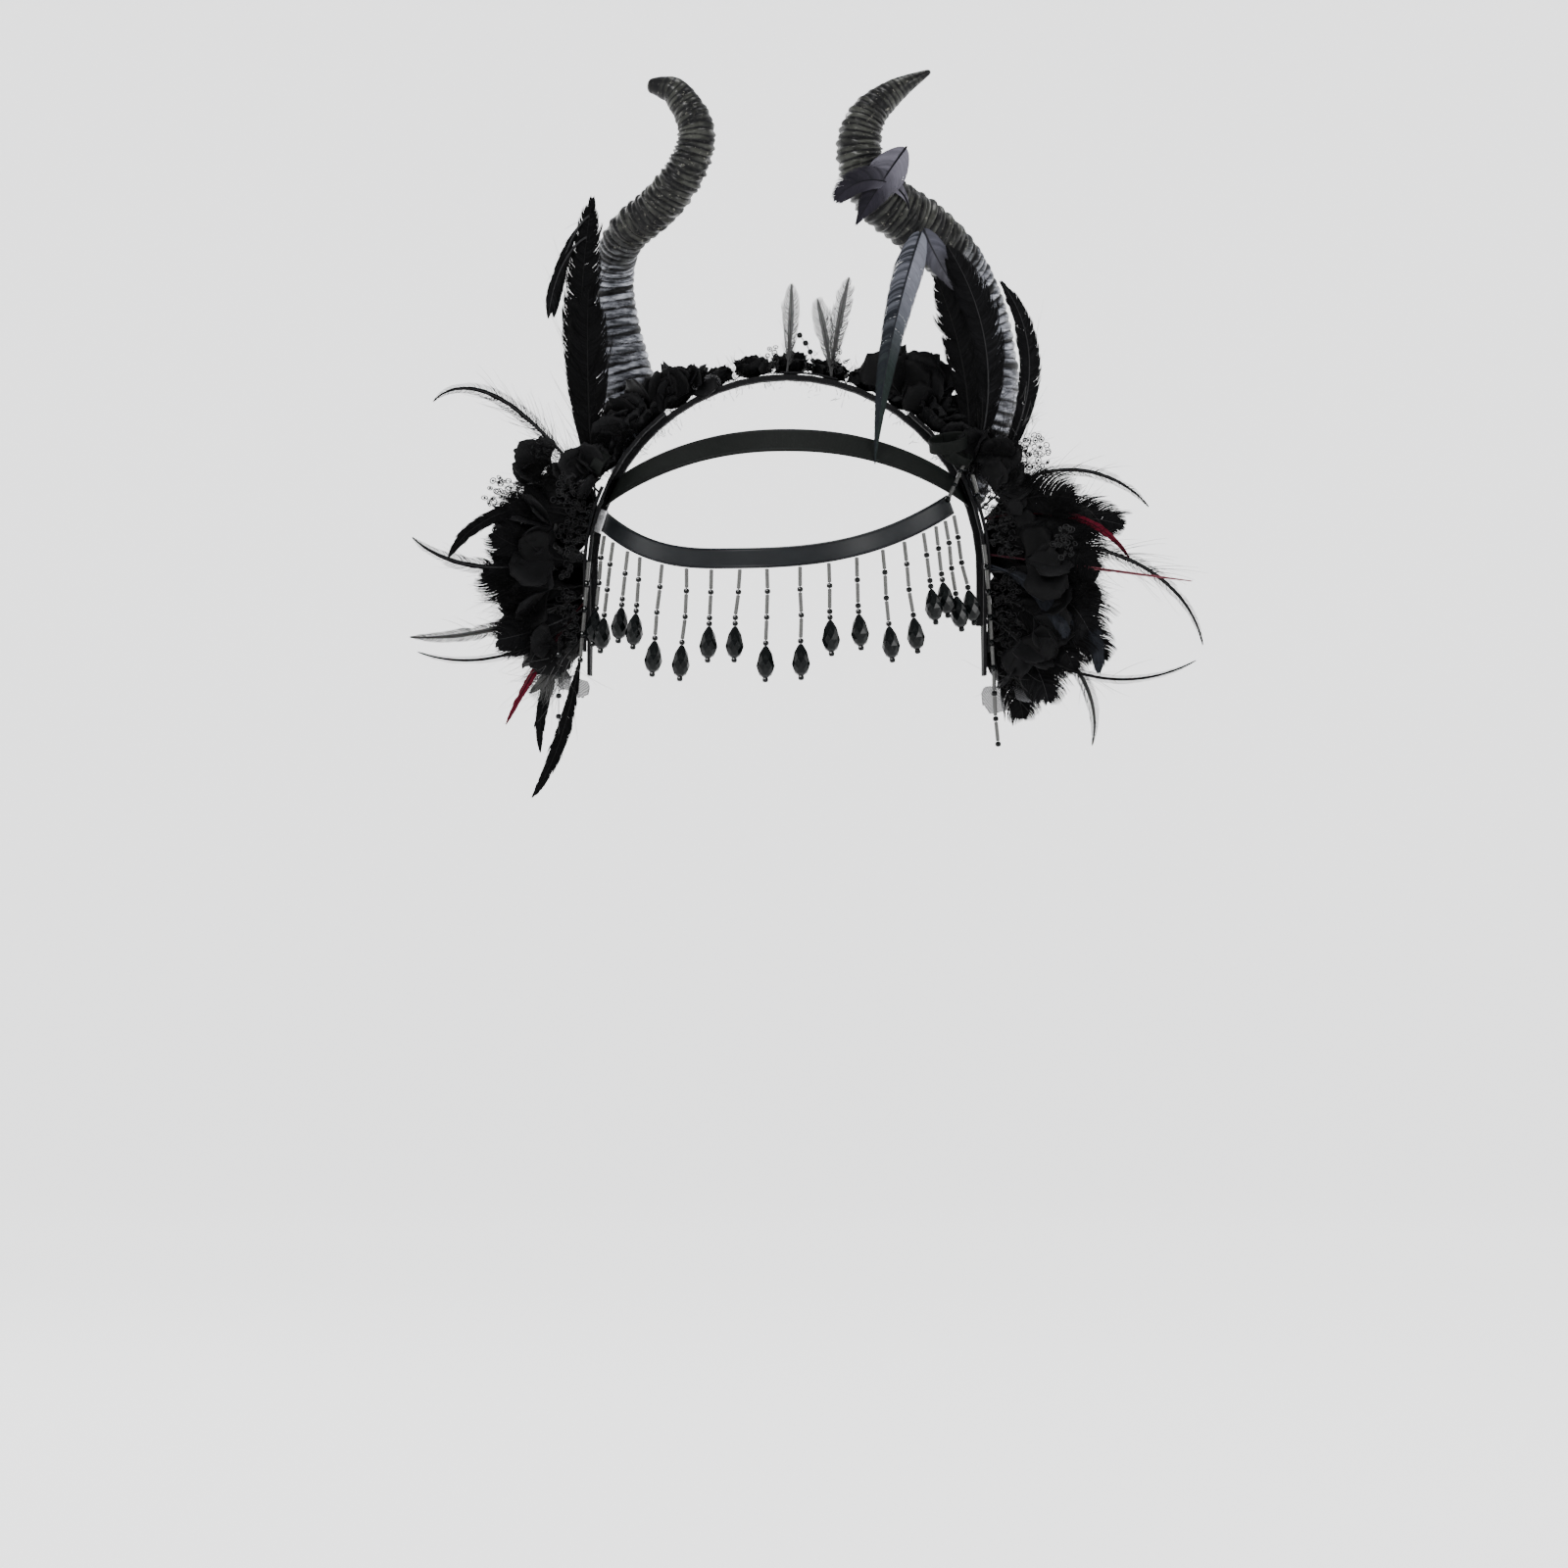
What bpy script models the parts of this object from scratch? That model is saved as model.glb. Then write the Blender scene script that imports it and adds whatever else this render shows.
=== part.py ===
"""Horn headband: an arch over the head with two ribbed horns, ruffled flowers, feathers,
two straps round the back of the head and a beaded fringe. Metres, +Z up.

The origin is the crown seat, under the middle of the band. The wearer faces +Y, so the
straps and the fringe hang on the -Y side, and +X is the wearer's right. A place on the
arch is its turn in degrees from the crown, + to the right; past 90 the arch runs straight
down, a degree being as long there as on the curve."""
import math
from collections import namedtuple

import bmesh
import bpy
import numpy as np
from mathutils import Matrix, Vector

GAP = 0.0003

HEAD_RADIUS = 0.087
HEAD_BACK = 0.098

BAND_WIDTH = 0.015
BAND_THICK = 0.0025
BAND_END_TURN = 107

BACKING_THICK = 0.0015
BACKING_BACK = 0.022
BACKING_FRONT = 0.052
BACKING_CROWN = 0.030
BACKING_TOP_TURN = 38
BACKING_END_TURN = 122

HORN_HEIGHT_LEFT = 0.170
HORN_HEIGHT_RIGHT = 0.185
HORN_GIRTH = 0.026
HORN_TURN_LEFT = -52
HORN_TURN_RIGHT = 62
HORN_SIDES = 10
HORN_RIBS = 17
RIB_RELIEF = 0.06

STRAP_THICK = 0.001
STRAP_RAISE = 0.0005
UPPER_STRAP_WIDTH = 0.0140
UPPER_STRAP_DROP = 0.0312
UPPER_STRAP_TURN = 66.4
UPPER_STRAP_BEND = 2.2
LOWER_STRAP_WIDTH = 0.0092
LOWER_STRAP_DROP = 0.0843
LOWER_STRAP_LOWEST = -0.027
LOWER_STRAP_LEFT_TURN = -75
LOWER_STRAP_TUCK = 0.0063
LOWER_STRAP_BEND = 2.75
STRAP_JOIN = 0.0030

CLIP_WIDTH = 0.0036
CLIP_LENGTH = 0.011
CLIP_WALL = 0.0008

BUGLE_LENGTH = 0.009
BUGLE_RADIUS = 0.0009
BEAD_RADIUS = 0.00135
BEAD_LENGTH = 0.0026
TEAR_LENGTH = 0.016
TEAR_RADIUS = 0.00375
BEAD_SIDES = 10
DROP_LEAN_LEFT = 6
DROP_LEAN_RIGHT = 10
DROP_STAND_OFF = 0.0015

TAPE_THICK = 0.0015
TAPE_WIDTH = 0.006
TAPE_END_TURN = 115
ROOT_STAGGER = 0.1
WISP_TAPE = 0.0018
FEATHER_THICK = 0.001
FEATHER_LENGTH = 0.100
VANE_WIDTH = 0.010
QUILL_WIDTH = 0.0016
QUILL_SEAT = 0.0007
FEATHER_STEPS = 6
FEATHER_STEP_SHARE = 0.4

ROSE_RADIUS = 0.020
ROSE_HEIGHT = 0.040
ROSE_SIDES = 15
ROSETTE_SIDES = 10

HornRow = namedtuple("HornRow", "across depth height girth")
FeatherRow = namedtuple("FeatherRow", "turn heading length curl power width back lead", defaults=(1.0,))
RoseRow = namedtuple("RoseRow", "turn setback radius height petals lean")
TierRow = namedtuple("TierRow", "wide high ruffle")
DropRow = namedtuple("DropRow", "across long_drop")
Finish = namedtuple("Finish", "color roughness metallic")

HORN_LEFT = [
    HornRow(0.030, 0.085, -0.060, 1.08),
    HornRow(0.008, 0.082, 0.085, 1.04),
    HornRow(-0.019, 0.094, 0.219, 0.94),
    HornRow(-0.038, 0.094, 0.352, 0.75),
    HornRow(-0.043, 0.076, 0.470, 0.67),
    HornRow(-0.015, -0.012, 0.568, 0.71),
    HornRow(0.087, -0.112, 0.654, 0.73),
    HornRow(0.159, -0.159, 0.751, 0.69),
    HornRow(0.180, -0.159, 0.848, 0.63),
    HornRow(0.132, -0.135, 0.940, 0.52),
    HornRow(0.090, -0.124, 0.962, 0.40),
    HornRow(0.048, -0.118, 0.967, 0.22),
]
HORN_RIGHT = [
    HornRow(-0.040, 0.078, -0.080, 1.10),
    HornRow(0.035, 0.076, 0.080, 1.06),
    HornRow(0.070, 0.070, 0.200, 1.00),
    HornRow(0.068, 0.081, 0.315, 0.92),
    HornRow(0.038, 0.059, 0.436, 0.90),
    HornRow(-0.026, 0.000, 0.544, 0.94),
    HornRow(-0.117, -0.081, 0.622, 0.98),
    HornRow(-0.208, -0.135, 0.686, 0.92),
    HornRow(-0.256, -0.151, 0.782, 0.81),
    HornRow(-0.241, -0.141, 0.877, 0.67),
    HornRow(-0.171, -0.119, 0.946, 0.44),
    HornRow(-0.081, -0.097, 0.998, 0.08),
]

# Along a feather from quill to tip: share of its length, share of its width.
VANE = [(0.0, 0.0), (0.12, 0.10), (0.28, 0.62), (0.50, 1.0), (0.72, 0.92), (0.90, 0.5), (1.0, 0.06)]

# Turn of the root on the tape, heading above level, share of FEATHER_LENGTH, total curl,
# where the curl gathers, share of VANE_WIDTH, how far the tip leans back as a share of the
# length, and a lead below 1 that brings the widest part nearer the quill.
SPRAY_LEFT = [
    FeatherRow(-68, 47, 0.95, -95, 4.0, 0.55, -0.05),
    FeatherRow(-74, 12, 0.74, -75, 1.5, 0.6, -0.25),
    FeatherRow(-86, -13, 0.81, 56, 2.1, 0.65, -0.36),
    FeatherRow(-98, -25, 0.82, 28, 1.5, 0.6, -0.14),
    FeatherRow(-104, -35, 0.8, 55, 1.5, 0.55, -0.30),
    FeatherRow(-100, -50, 0.66, -15, 1.0, 0.3, -0.20),
    FeatherRow(-106, -48, 0.64, -46, 1.0, 0.5, -0.06),
    FeatherRow(-110, -79, 0.78, 24, 2.5, 0.8, -0.02),
]
TALL_LEFT = FeatherRow(-72, 80, 1.42, 19, 1.0, 1.6, 0.03)
# The top of the tall feather is folded over: the first column is the place along it.
FOLDED_TOP = [
    FeatherRow(0.94, 0, 0.50, -86, 0.22, 0.55, -0.10),
    FeatherRow(0.87, 0, 0.42, -84, 0.30, 0.5, -0.20),
]
SPRAY_RIGHT = [
    FeatherRow(73, 44, 0.86, -95, 1.2, 0.6, -0.15),
    FeatherRow(82, 0, 1.18, -80, 2.0, 0.45, -0.26),
    FeatherRow(101, -56, 1.06, 85, 1.1, 0.45, -0.26),
    FeatherRow(76, 14, 0.75, -75, 1.5, 0.36, -0.20),
    FeatherRow(86, -8, 0.92, 0, 1.0, 0.22, -0.34),
    FeatherRow(90, -5, 0.76, -85, 1.2, 0.9, -0.12),
    FeatherRow(104, -15, 0.84, -88, 1.4, 0.55, -0.05),
    FeatherRow(79, 20, 0.64, -36, 1.0, 1.8, -0.05),
    FeatherRow(94, -8, 0.66, -52, 1.0, 2.0, 0.02),
    FeatherRow(70, 54, 1.08, 75, 1.5, 0.9, -0.05),
]
TALL_RIGHT = [
    FeatherRow(64, 67, 1.10, 56, 1.0, 1.6, -0.10),
    FeatherRow(66, 75, 1.06, 42, 1.0, 1.5, -0.07),
    FeatherRow(68, 82, 0.98, 30, 1.0, 1.4, -0.04),
]
# These two start on the right horn: the first column is the place along it.
SILVER_CURLED = FeatherRow(0.565, 70, 0.49, 165, 0.7, 1.9, -0.44)
SILVER_LONG = FeatherRow(0.530, 251, 1.12, 15, 1.0, 1.65, -0.41, 0.55)
CROWN_WISPS = [
    FeatherRow(0, 84, 0.4, 6, 1.0, 0.45, 0.0),
    FeatherRow(13, 96, 0.36, 8, 1.0, 0.6, 0.0),
    FeatherRow(13, 84, 0.46, -8, 1.0, 0.6, 0.05),
]

# Turn on the arch, setback as a share of BACKING_BACK, shares of ROSE_RADIUS and of
# ROSE_HEIGHT, petals in a tier, and lean of the flower towards the front.
CROWN_ROSETTES = [
    RoseRow(-32.5, 0.045, 0.425, 0.263, 5, 12),
    RoseRow(-21, 0.091, 0.41, 0.213, 5, 16),
    RoseRow(-9.8, 0.091, 0.4, 0.25, 4, 14),
    RoseRow(1.4, 0.136, 0.4, 0.237, 5, 18),
    RoseRow(12.2, 0.091, 0.37, 0.2, 4, 14),
    RoseRow(22.6, 0.091, 0.38, 0.225, 5, 16),
    RoseRow(33.2, 0.045, 0.39, 0.325, 5, 10),
]
FOOT_LEFT = [
    RoseRow(-45, -0.568, 0.43, 0.4, 5, -8),
    RoseRow(-57.2, -0.545, 0.42, 0.3, 5, -8),
]
FOOT_RIGHT = [
    RoseRow(44.8, -0.568, 0.42, 0.45, 5, -8),
    RoseRow(56.4, -0.568, 0.4, 0.4, 5, -8),
]
SIDE_LEFT = [
    RoseRow(-76, 0.409, 1.025, 0.95, 5, -4),
    RoseRow(-106, 0.409, 0.975, 1.1, 6, -4),
    RoseRow(-91, 1.818, 0.65, 0.6, 5, 8),
]
SIDE_RIGHT = [
    RoseRow(84, 0.409, 1.025, 1.075, 6, -4),
    RoseRow(114, 0.409, 0.975, 1.0, 5, -4),
    RoseRow(99, 1.818, 0.65, 0.6, 5, 8),
]

# Each tier of a flower as shares of its radius and height, and the depth of its ruffle.
ROSE_TIERS = [
    TierRow(0.42, 0.0, 0.0), TierRow(1.0, 0.30, 0.12), TierRow(0.66, 0.42, 0.04),
    TierRow(0.86, 0.74, 0.12), TierRow(0.40, 0.66, 0.05), TierRow(0.46, 1.0, 0.14),
    TierRow(0.14, 0.80, 0.0),
]
ROSETTE_TIERS = [
    TierRow(0.42, 0.0, 0.0), TierRow(1.0, 0.36, 0.14), TierRow(0.56, 0.52, 0.05),
    TierRow(0.66, 1.0, 0.14), TierRow(0.20, 0.74, 0.0),
]
TIER_SHIFT = 1.9

# Place along the lower strap as a share of its reach to that side, and the long kind.
DROPS = [
    DropRow(-0.955, True), DropRow(-0.905, True), DropRow(-0.825, False), DropRow(-0.760, False),
    DropRow(-0.645, True), DropRow(-0.520, True), DropRow(-0.393, False), DropRow(-0.245, False),
    DropRow(-0.106, True), DropRow(0.071, True), DropRow(0.238, False), DropRow(0.400, False),
    DropRow(0.552, True), DropRow(0.680, True), DropRow(0.796, False), DropRow(0.872, False),
    DropRow(0.930, True), DropRow(0.985, True),
]

BLACK_SILK = Finish((0.012, 0.012, 0.013), 0.6, 0.0)
BLACK_FELT = Finish((0.015, 0.015, 0.016), 0.9, 0.0)
BLACK_FEATHER = Finish((0.010, 0.011, 0.012), 0.4, 0.0)
GREY_FEATHER = Finish((0.30, 0.31, 0.37), 0.45, 0.0)
HORN_PAINT = Finish((0.10, 0.10, 0.10), 0.38, 0.3)
STRAP_CLOTH = Finish((0.024, 0.027, 0.024), 0.6, 0.0)
JET = Finish((0.008, 0.009, 0.009), 0.08, 0.0)
STEEL = Finish((0.75, 0.75, 0.76), 0.25, 1.0)

PARTS = "horn_headband"
CUTTERS = "cutters"


def clear_scene():
    for obj in list(bpy.data.objects):
        bpy.data.objects.remove(obj, do_unlink=True)
    for name in (PARTS, CUTTERS):
        bpy.context.scene.collection.children.link(bpy.data.collections.new(name))


def finish_material(name, finish):
    material = bpy.data.materials.new(name)
    material.use_nodes = True
    shader = material.node_tree.nodes["Principled BSDF"]
    shader.inputs["Base Color"].default_value = (*finish.color, 1.0)
    shader.inputs["Roughness"].default_value = finish.roughness
    shader.inputs["Metallic"].default_value = finish.metallic
    return material


def add_part(name, mesh, finish):
    """Put a mesh in the parts collection under its own name and material."""
    obj = bpy.data.objects.new(name, mesh)
    mesh.materials.append(finish_material(name, finish))
    bpy.data.collections[PARTS].objects.link(obj)
    return obj


def add_cutter(name, mesh):
    obj = bpy.data.objects.new(name, mesh)
    obj.hide_render = True
    obj.display_type = "WIRE"
    bpy.data.collections[CUTTERS].objects.link(obj)
    return obj


def combine(obj, other, operation):
    modifier = obj.modifiers.new(operation.lower() + "_" + other.name, "BOOLEAN")
    modifier.operation = operation
    modifier.object = other
    modifier.solver = "EXACT"


def loft(name, rings):
    """Closed body through rings of equally many points, with both ends capped."""
    sides = len(rings[0])
    faces = [tuple(reversed(range(sides)))]
    for start in range(0, sides * (len(rings) - 1), sides):
        for side in range(sides):
            after = (side + 1) % sides
            faces.append((start + side, start + after, start + sides + after, start + sides + side))
    last = sides * (len(rings) - 1)
    faces.append(tuple(range(last, last + sides)))
    mesh = bpy.data.meshes.new(name)
    mesh.from_pydata([tuple(point) for ring in rings for point in ring], [], faces)
    shape = bmesh.new()
    shape.from_mesh(mesh)
    bmesh.ops.recalc_face_normals(shape, faces=shape.faces)
    shape.to_mesh(mesh)
    shape.free()
    return mesh


def arch_normal(turn):
    angle = math.radians(max(-90.0, min(90.0, turn)))
    return np.array([math.sin(angle), 0.0, math.cos(angle)])


def arch_point(turn, radius, setback=0.0):
    """Point on the arch at a radius from the head's middle."""
    straight = math.radians(max(0.0, abs(turn) - 90.0)) * HEAD_RADIUS
    return arch_normal(turn) * radius + np.array([0.0, setback, -HEAD_RADIUS - straight])


def head_depth(x, z):
    """How far behind the arch the head's surface lies at x, z."""
    inside = 1.0 - (x / HEAD_RADIUS) ** 2 - ((z + HEAD_RADIUS) / HEAD_RADIUS) ** 2
    return HEAD_BACK * math.sqrt(max(0.0, inside))


def head_normal(point):
    x, y, z = point
    slope = np.array([x / HEAD_RADIUS ** 2, y / HEAD_BACK ** 2, (z + HEAD_RADIUS) / HEAD_RADIUS ** 2])
    return slope / np.linalg.norm(slope)


def rim_radius():
    """Radius of the head's outline just behind the band's rear edge."""
    reach = (BAND_WIDTH / 2 + GAP) / HEAD_BACK
    return HEAD_RADIUS * math.sqrt(1.0 - reach ** 2)


def unit(vector):
    return vector / np.linalg.norm(vector)


def arch_wall(name, radius, thick, back, front, first_turn, last_turn, steps, finish, crown=0.0):
    """Open strip along the arch, from back to front, thickened outwards. Its front edge is
    an arc that reaches front at the middle and falls back by crown at both ends."""
    turns = np.linspace(first_turn, last_turn, steps + 1)
    edges = front - crown * (1.0 - np.sin(np.linspace(0.0, math.pi, steps + 1)))
    rows = [(arch_point(turn, radius, back), arch_point(turn, radius, edge))
            for turn, edge in zip(turns, edges)]
    faces = [(2 * k, 2 * k + 1, 2 * k + 3, 2 * k + 2) for k in range(steps)]
    mesh = bpy.data.meshes.new(name)
    mesh.from_pydata([tuple(point) for row in rows for point in row], [], faces)
    obj = add_part(name, mesh, finish)
    solidify = obj.modifiers.new("wall", "SOLIDIFY")
    solidify.thickness = thick
    outward = mesh.polygons[0].normal.dot(Vector(arch_normal((turns[0] + turns[1]) / 2)))
    solidify.offset = math.copysign(1.0, outward)
    return obj


def band_outer():
    return HEAD_RADIUS + BAND_THICK


def backing_inner():
    return band_outer() + GAP


def backing_outer():
    return backing_inner() + BACKING_THICK


def make_band():
    arch_wall("band", HEAD_RADIUS, BAND_THICK, -BAND_WIDTH / 2, BAND_WIDTH / 2,
              -BAND_END_TURN, BAND_END_TURN, 30, BLACK_FELT)
    for side, word in ((-1, "left"), (1, "right")):
        arch_wall("backing_" + word, backing_inner(), BACKING_THICK, -BACKING_BACK, BACKING_FRONT,
                  side * BACKING_TOP_TURN, side * BACKING_END_TURN, 10, BLACK_FELT, BACKING_CROWN)


def through(rows, place):
    """Smooth curve through table rows, read at a place from 0 to 1 (Catmull-Rom)."""
    table = np.array(rows, dtype=float)
    spot = min(max(place, 0.0), 1.0) * (len(table) - 1)
    start = min(int(spot), len(table) - 2)
    before, here = table[max(start - 1, 0)], table[start]
    after, beyond = table[start + 1], table[min(start + 2, len(table) - 1)]
    t = spot - start
    return 0.5 * (2 * here + (after - before) * t + (2 * before - 5 * here + 4 * after - beyond) * t ** 2
                  + (3 * here - before - 3 * after + beyond) * t ** 3)


def horn_spot(rows, turn, height, place):
    """Middle and radius of a horn at a place from its foot, 0, to its tip, 1."""
    across, depth, rise, girth = through(rows, place)
    middle = arch_point(turn, backing_outer()) + np.array([across, depth, rise]) * height
    return middle, girth * HORN_GIRTH / 2


def horn_ring(rows, turn, height, place, swell):
    middle, radius = horn_spot(rows, turn, height, place)
    ahead = horn_spot(rows, turn, height, place + 0.01)[0]
    behind = horn_spot(rows, turn, height, place - 0.01)[0]
    along = unit(ahead - behind)
    sideways = unit(np.cross(along, np.array([0.0, 1.0, 0.0])))
    facing = np.cross(sideways, along)
    angles = np.arange(HORN_SIDES) * 2 * math.pi / HORN_SIDES
    return [middle + radius * swell * (sideways * math.cos(a) + facing * math.sin(a)) for a in angles]


def make_horn(name, rows, turn, height):
    """Tube of rings: each rib is a full ring and a groove ring, fading out at the tip."""
    rings = []
    places = np.linspace(0.0, 1.0, 2 * HORN_RIBS + 1)
    for index, place in enumerate(places):
        relief = RIB_RELIEF * min(1.0, 4.0 * (1.0 - place))
        rings.append(horn_ring(rows, turn, height, place, 1.0 - relief * (index % 2)))
    horn = add_part(name, loft(name, rings), HORN_PAINT)
    seat = horn_seat_cutter(name, turn)
    combine(horn, seat, "DIFFERENCE")
    return horn


def horn_seat_cutter(name, turn):
    """Cylinder along the arch's axis that leaves the horn's foot a gap above the backing."""
    mesh = bpy.data.meshes.new(name + "_seat")
    shape = bmesh.new()
    bmesh.ops.create_cone(shape, cap_ends=True, segments=96, radius1=backing_outer() + GAP,
                          radius2=backing_outer() + GAP, depth=4 * HORN_GIRTH)
    bmesh.ops.rotate(shape, matrix=Matrix.Rotation(math.radians(90), 3, "X"), verts=shape.verts)
    bmesh.ops.translate(shape, vec=(0.0, 0.0, -HEAD_RADIUS), verts=shape.verts)
    shape.to_mesh(mesh)
    shape.free()
    return add_cutter(name + "_seat", mesh)


def upper_strap_end():
    """The upper strap's ends meet the band's rear edge at this x and z."""
    angle = math.radians(UPPER_STRAP_TURN)
    return rim_radius() * math.sin(angle), -HEAD_RADIUS + rim_radius() * math.cos(angle)


def upper_strap_height(x):
    end_x, end_z = upper_strap_end()
    return -UPPER_STRAP_DROP + (end_z + UPPER_STRAP_DROP) * abs(x / end_x) ** UPPER_STRAP_BEND


def lower_strap_ends():
    """Left and right ends: the left meets the band, the right tucks under the upper strap."""
    angle = math.radians(LOWER_STRAP_LEFT_TURN)
    left = (rim_radius() * math.sin(angle), -HEAD_RADIUS + rim_radius() * math.cos(angle))
    right_x = upper_strap_end()[0] - LOWER_STRAP_TUCK
    right = (right_x, upper_strap_height(right_x) - UPPER_STRAP_WIDTH / 2 - STRAP_JOIN)
    return left, right


def lower_strap_height(x):
    left, right = lower_strap_ends()
    end_x, end_z = left if x < LOWER_STRAP_LOWEST else right
    share = abs((x - LOWER_STRAP_LOWEST) / (end_x - LOWER_STRAP_LOWEST))
    return -LOWER_STRAP_DROP + (end_z + LOWER_STRAP_DROP) * share ** LOWER_STRAP_BEND


def strap_points(height, first_x, last_x, steps):
    """Middle line of a strap on the head's surface, closer together towards its ends."""
    middle, half = (first_x + last_x) / 2, (last_x - first_x) / 2
    places = middle - half * np.cos(np.linspace(0.0, math.pi, steps + 1))
    return [np.array([x, -max(head_depth(x, height(x)), BAND_WIDTH / 2 + GAP), height(x)])
            for x in places]


def strap_frame(points, index):
    """Outward and upward directions of a strap's section."""
    along = unit(points[min(index + 1, len(points) - 1)] - points[max(index - 1, 0)])
    outward = head_normal(points[index])
    if index in (0, len(points) - 1):
        outward = unit(outward * np.array([1.0, 0.0, 1.0]))
    upward = unit(np.cross(outward, along))
    if upward[2] < 0:
        upward = -upward
    return outward, upward


def make_strap(name, points, width):
    rows = []
    for index, point in enumerate(points):
        outward, upward = strap_frame(points, index)
        base = point + outward * STRAP_RAISE
        rows.append((base - upward * width / 2, base + upward * width / 2))
    if name == "upper_strap":
        rows = [tuple(np.array([p[0], min(p[1], -BAND_WIDTH / 2 - GAP), p[2]]) for p in row) for row in rows]
    mesh = bpy.data.meshes.new(name)
    faces = [(2 * k, 2 * k + 1, 2 * k + 3, 2 * k + 2) for k in range(len(rows) - 1)]
    mesh.from_pydata([tuple(point) for row in rows for point in row], [], faces)
    strap = add_part(name, mesh, STRAP_CLOTH)
    solidify = strap.modifiers.new("cloth", "SOLIDIFY")
    solidify.thickness = STRAP_THICK
    middle = len(rows) // 2
    outward = mesh.polygons[middle].normal.dot(Vector(head_normal(points[middle])))
    solidify.offset = math.copysign(1.0, outward)
    return strap


def lower_strap_points():
    left, right = lower_strap_ends()
    return strap_points(lower_strap_height, left[0], right[0], 24)


def make_straps():
    end_x = upper_strap_end()[0]
    make_strap("upper_strap", strap_points(upper_strap_height, -end_x, end_x, 22), UPPER_STRAP_WIDTH)
    make_strap("lower_strap", lower_strap_points(), LOWER_STRAP_WIDTH)


def make_clip():
    """Flat metal plate on the outside of the lower strap's left end."""
    left = lower_strap_ends()[0]
    x = left[0] + (LOWER_STRAP_LOWEST - left[0]) * 0.03
    point = np.array([x, -head_depth(x, lower_strap_height(x)), lower_strap_height(x)])
    outward = head_normal(point)
    along = unit(np.array([0.0, -1.0, 0.0]) - outward * np.dot(outward, [0.0, -1.0, 0.0]))
    upward = unit(np.cross(outward, along)) * -1.0
    lift = STRAP_RAISE + STRAP_THICK + GAP
    mesh = bpy.data.meshes.new("strap_clip")
    shape = bmesh.new()
    bmesh.ops.create_cube(shape, size=1.0)
    bmesh.ops.scale(shape, vec=(CLIP_WIDTH, CLIP_LENGTH, CLIP_WALL), verts=shape.verts)
    turn = Matrix((along, upward, outward)).transposed().to_4x4()
    place = Matrix.Translation(Vector(point + outward * (lift + CLIP_WALL / 2)))
    bmesh.ops.transform(shape, matrix=place @ turn, verts=shape.verts)
    bmesh.ops.recalc_face_normals(shape, faces=shape.faces)
    shape.to_mesh(mesh)
    shape.free()
    add_part("strap_clip", mesh, STEEL)


def strand_profile(kinds):
    """Turned outline of a strand, as (radius, distance down) pairs from its top."""
    outline = [(0.0, 0.0)]
    down = 0.0
    for index, kind in enumerate(kinds):
        if kind == "bugle":
            outline += [(BUGLE_RADIUS, down), (BUGLE_RADIUS, down + BUGLE_LENGTH)]
            down += BUGLE_LENGTH
        elif kind == "bead":
            if index and kinds[index - 1] == "bead":
                outline.append((BUGLE_RADIUS, down))
            outline.append((BEAD_RADIUS, down + BEAD_LENGTH / 2))
            down += BEAD_LENGTH
        else:
            outline += [(BUGLE_RADIUS, down), (TEAR_RADIUS, down + TEAR_LENGTH * 0.60),
                        (TEAR_RADIUS * 0.66, down + TEAR_LENGTH * 0.84)]
            down += TEAR_LENGTH
    outline.append((0.0, down))
    return [pair for index, pair in enumerate(outline) if index == 0 or pair != outline[index - 1]]


def make_strand(name, kinds, top, direction):
    """Profile turned about the strand's line by a Screw modifier, hung from its top."""
    outline = strand_profile(kinds)
    mesh = bpy.data.meshes.new(name)
    mesh.from_pydata([(radius, 0.0, -down) for radius, down in outline],
                     [(k, k + 1) for k in range(len(outline) - 1)], [])
    strand = add_part(name, mesh, JET)
    screw = strand.modifiers.new("turned", "SCREW")
    screw.steps = BEAD_SIDES
    screw.render_steps = BEAD_SIDES
    screw.use_merge_vertices = True
    screw.merge_threshold = 0.00001
    strand.location = Vector(top)
    strand.rotation_mode = "QUATERNION"
    strand.rotation_quaternion = Vector((0.0, 0.0, -1.0)).rotation_difference(Vector(direction))
    return strand


def make_drops():
    left, right = lower_strap_ends()
    long_kinds = ["bugle", "bead"] * 3 + ["drop"]
    short_kinds = ["bugle", "bead", "bugle", "bead", "bead", "drop"]
    for number, row in enumerate(DROPS, start=1):
        x = row.across * (abs(left[0]) if row.across < 0 else right[0])
        point = np.array([x, -head_depth(x, lower_strap_height(x)), lower_strap_height(x)])
        step = 0.0005
        ahead = np.array([x + step, -head_depth(x + step, lower_strap_height(x + step)),
                          lower_strap_height(x + step)])
        outward = head_normal(point)
        upward = unit(np.cross(outward, unit(ahead - point)))
        upward = upward if upward[2] > 0 else -upward
        base = point + outward * (STRAP_RAISE + DROP_STAND_OFF)
        top = base - upward * (LOWER_STRAP_WIDTH / 2 + GAP)
        lean = math.radians(DROP_LEAN_LEFT if x < 0 else DROP_LEAN_RIGHT) * x / right[0]
        direction = unit(np.array([math.sin(lean), -0.04, -math.cos(lean)]))
        make_strand("drop_%02d" % number, long_kinds if row.long_drop else short_kinds, top, direction)


def blade_line(start, side, row):
    """Line whose heading turns by curl * share ** power: its shares, headings and points."""
    length = row.length * FEATHER_LENGTH
    steps = FEATHER_STEPS + int(row.length / FEATHER_STEP_SHARE)
    shares = np.linspace(0.0, 1.0, steps + 1)
    headings = np.radians(row.heading + row.curl * shares ** row.power)
    ways = np.stack([side * np.cos(headings), np.full_like(shares, row.back), np.sin(headings)], axis=1)
    middles = (ways[1:] + ways[:-1]) / 2
    points = np.vstack([[0.0, 0.0, 0.0], np.cumsum(middles * length / steps, axis=0)]) + start
    return shares, headings, points


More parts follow.
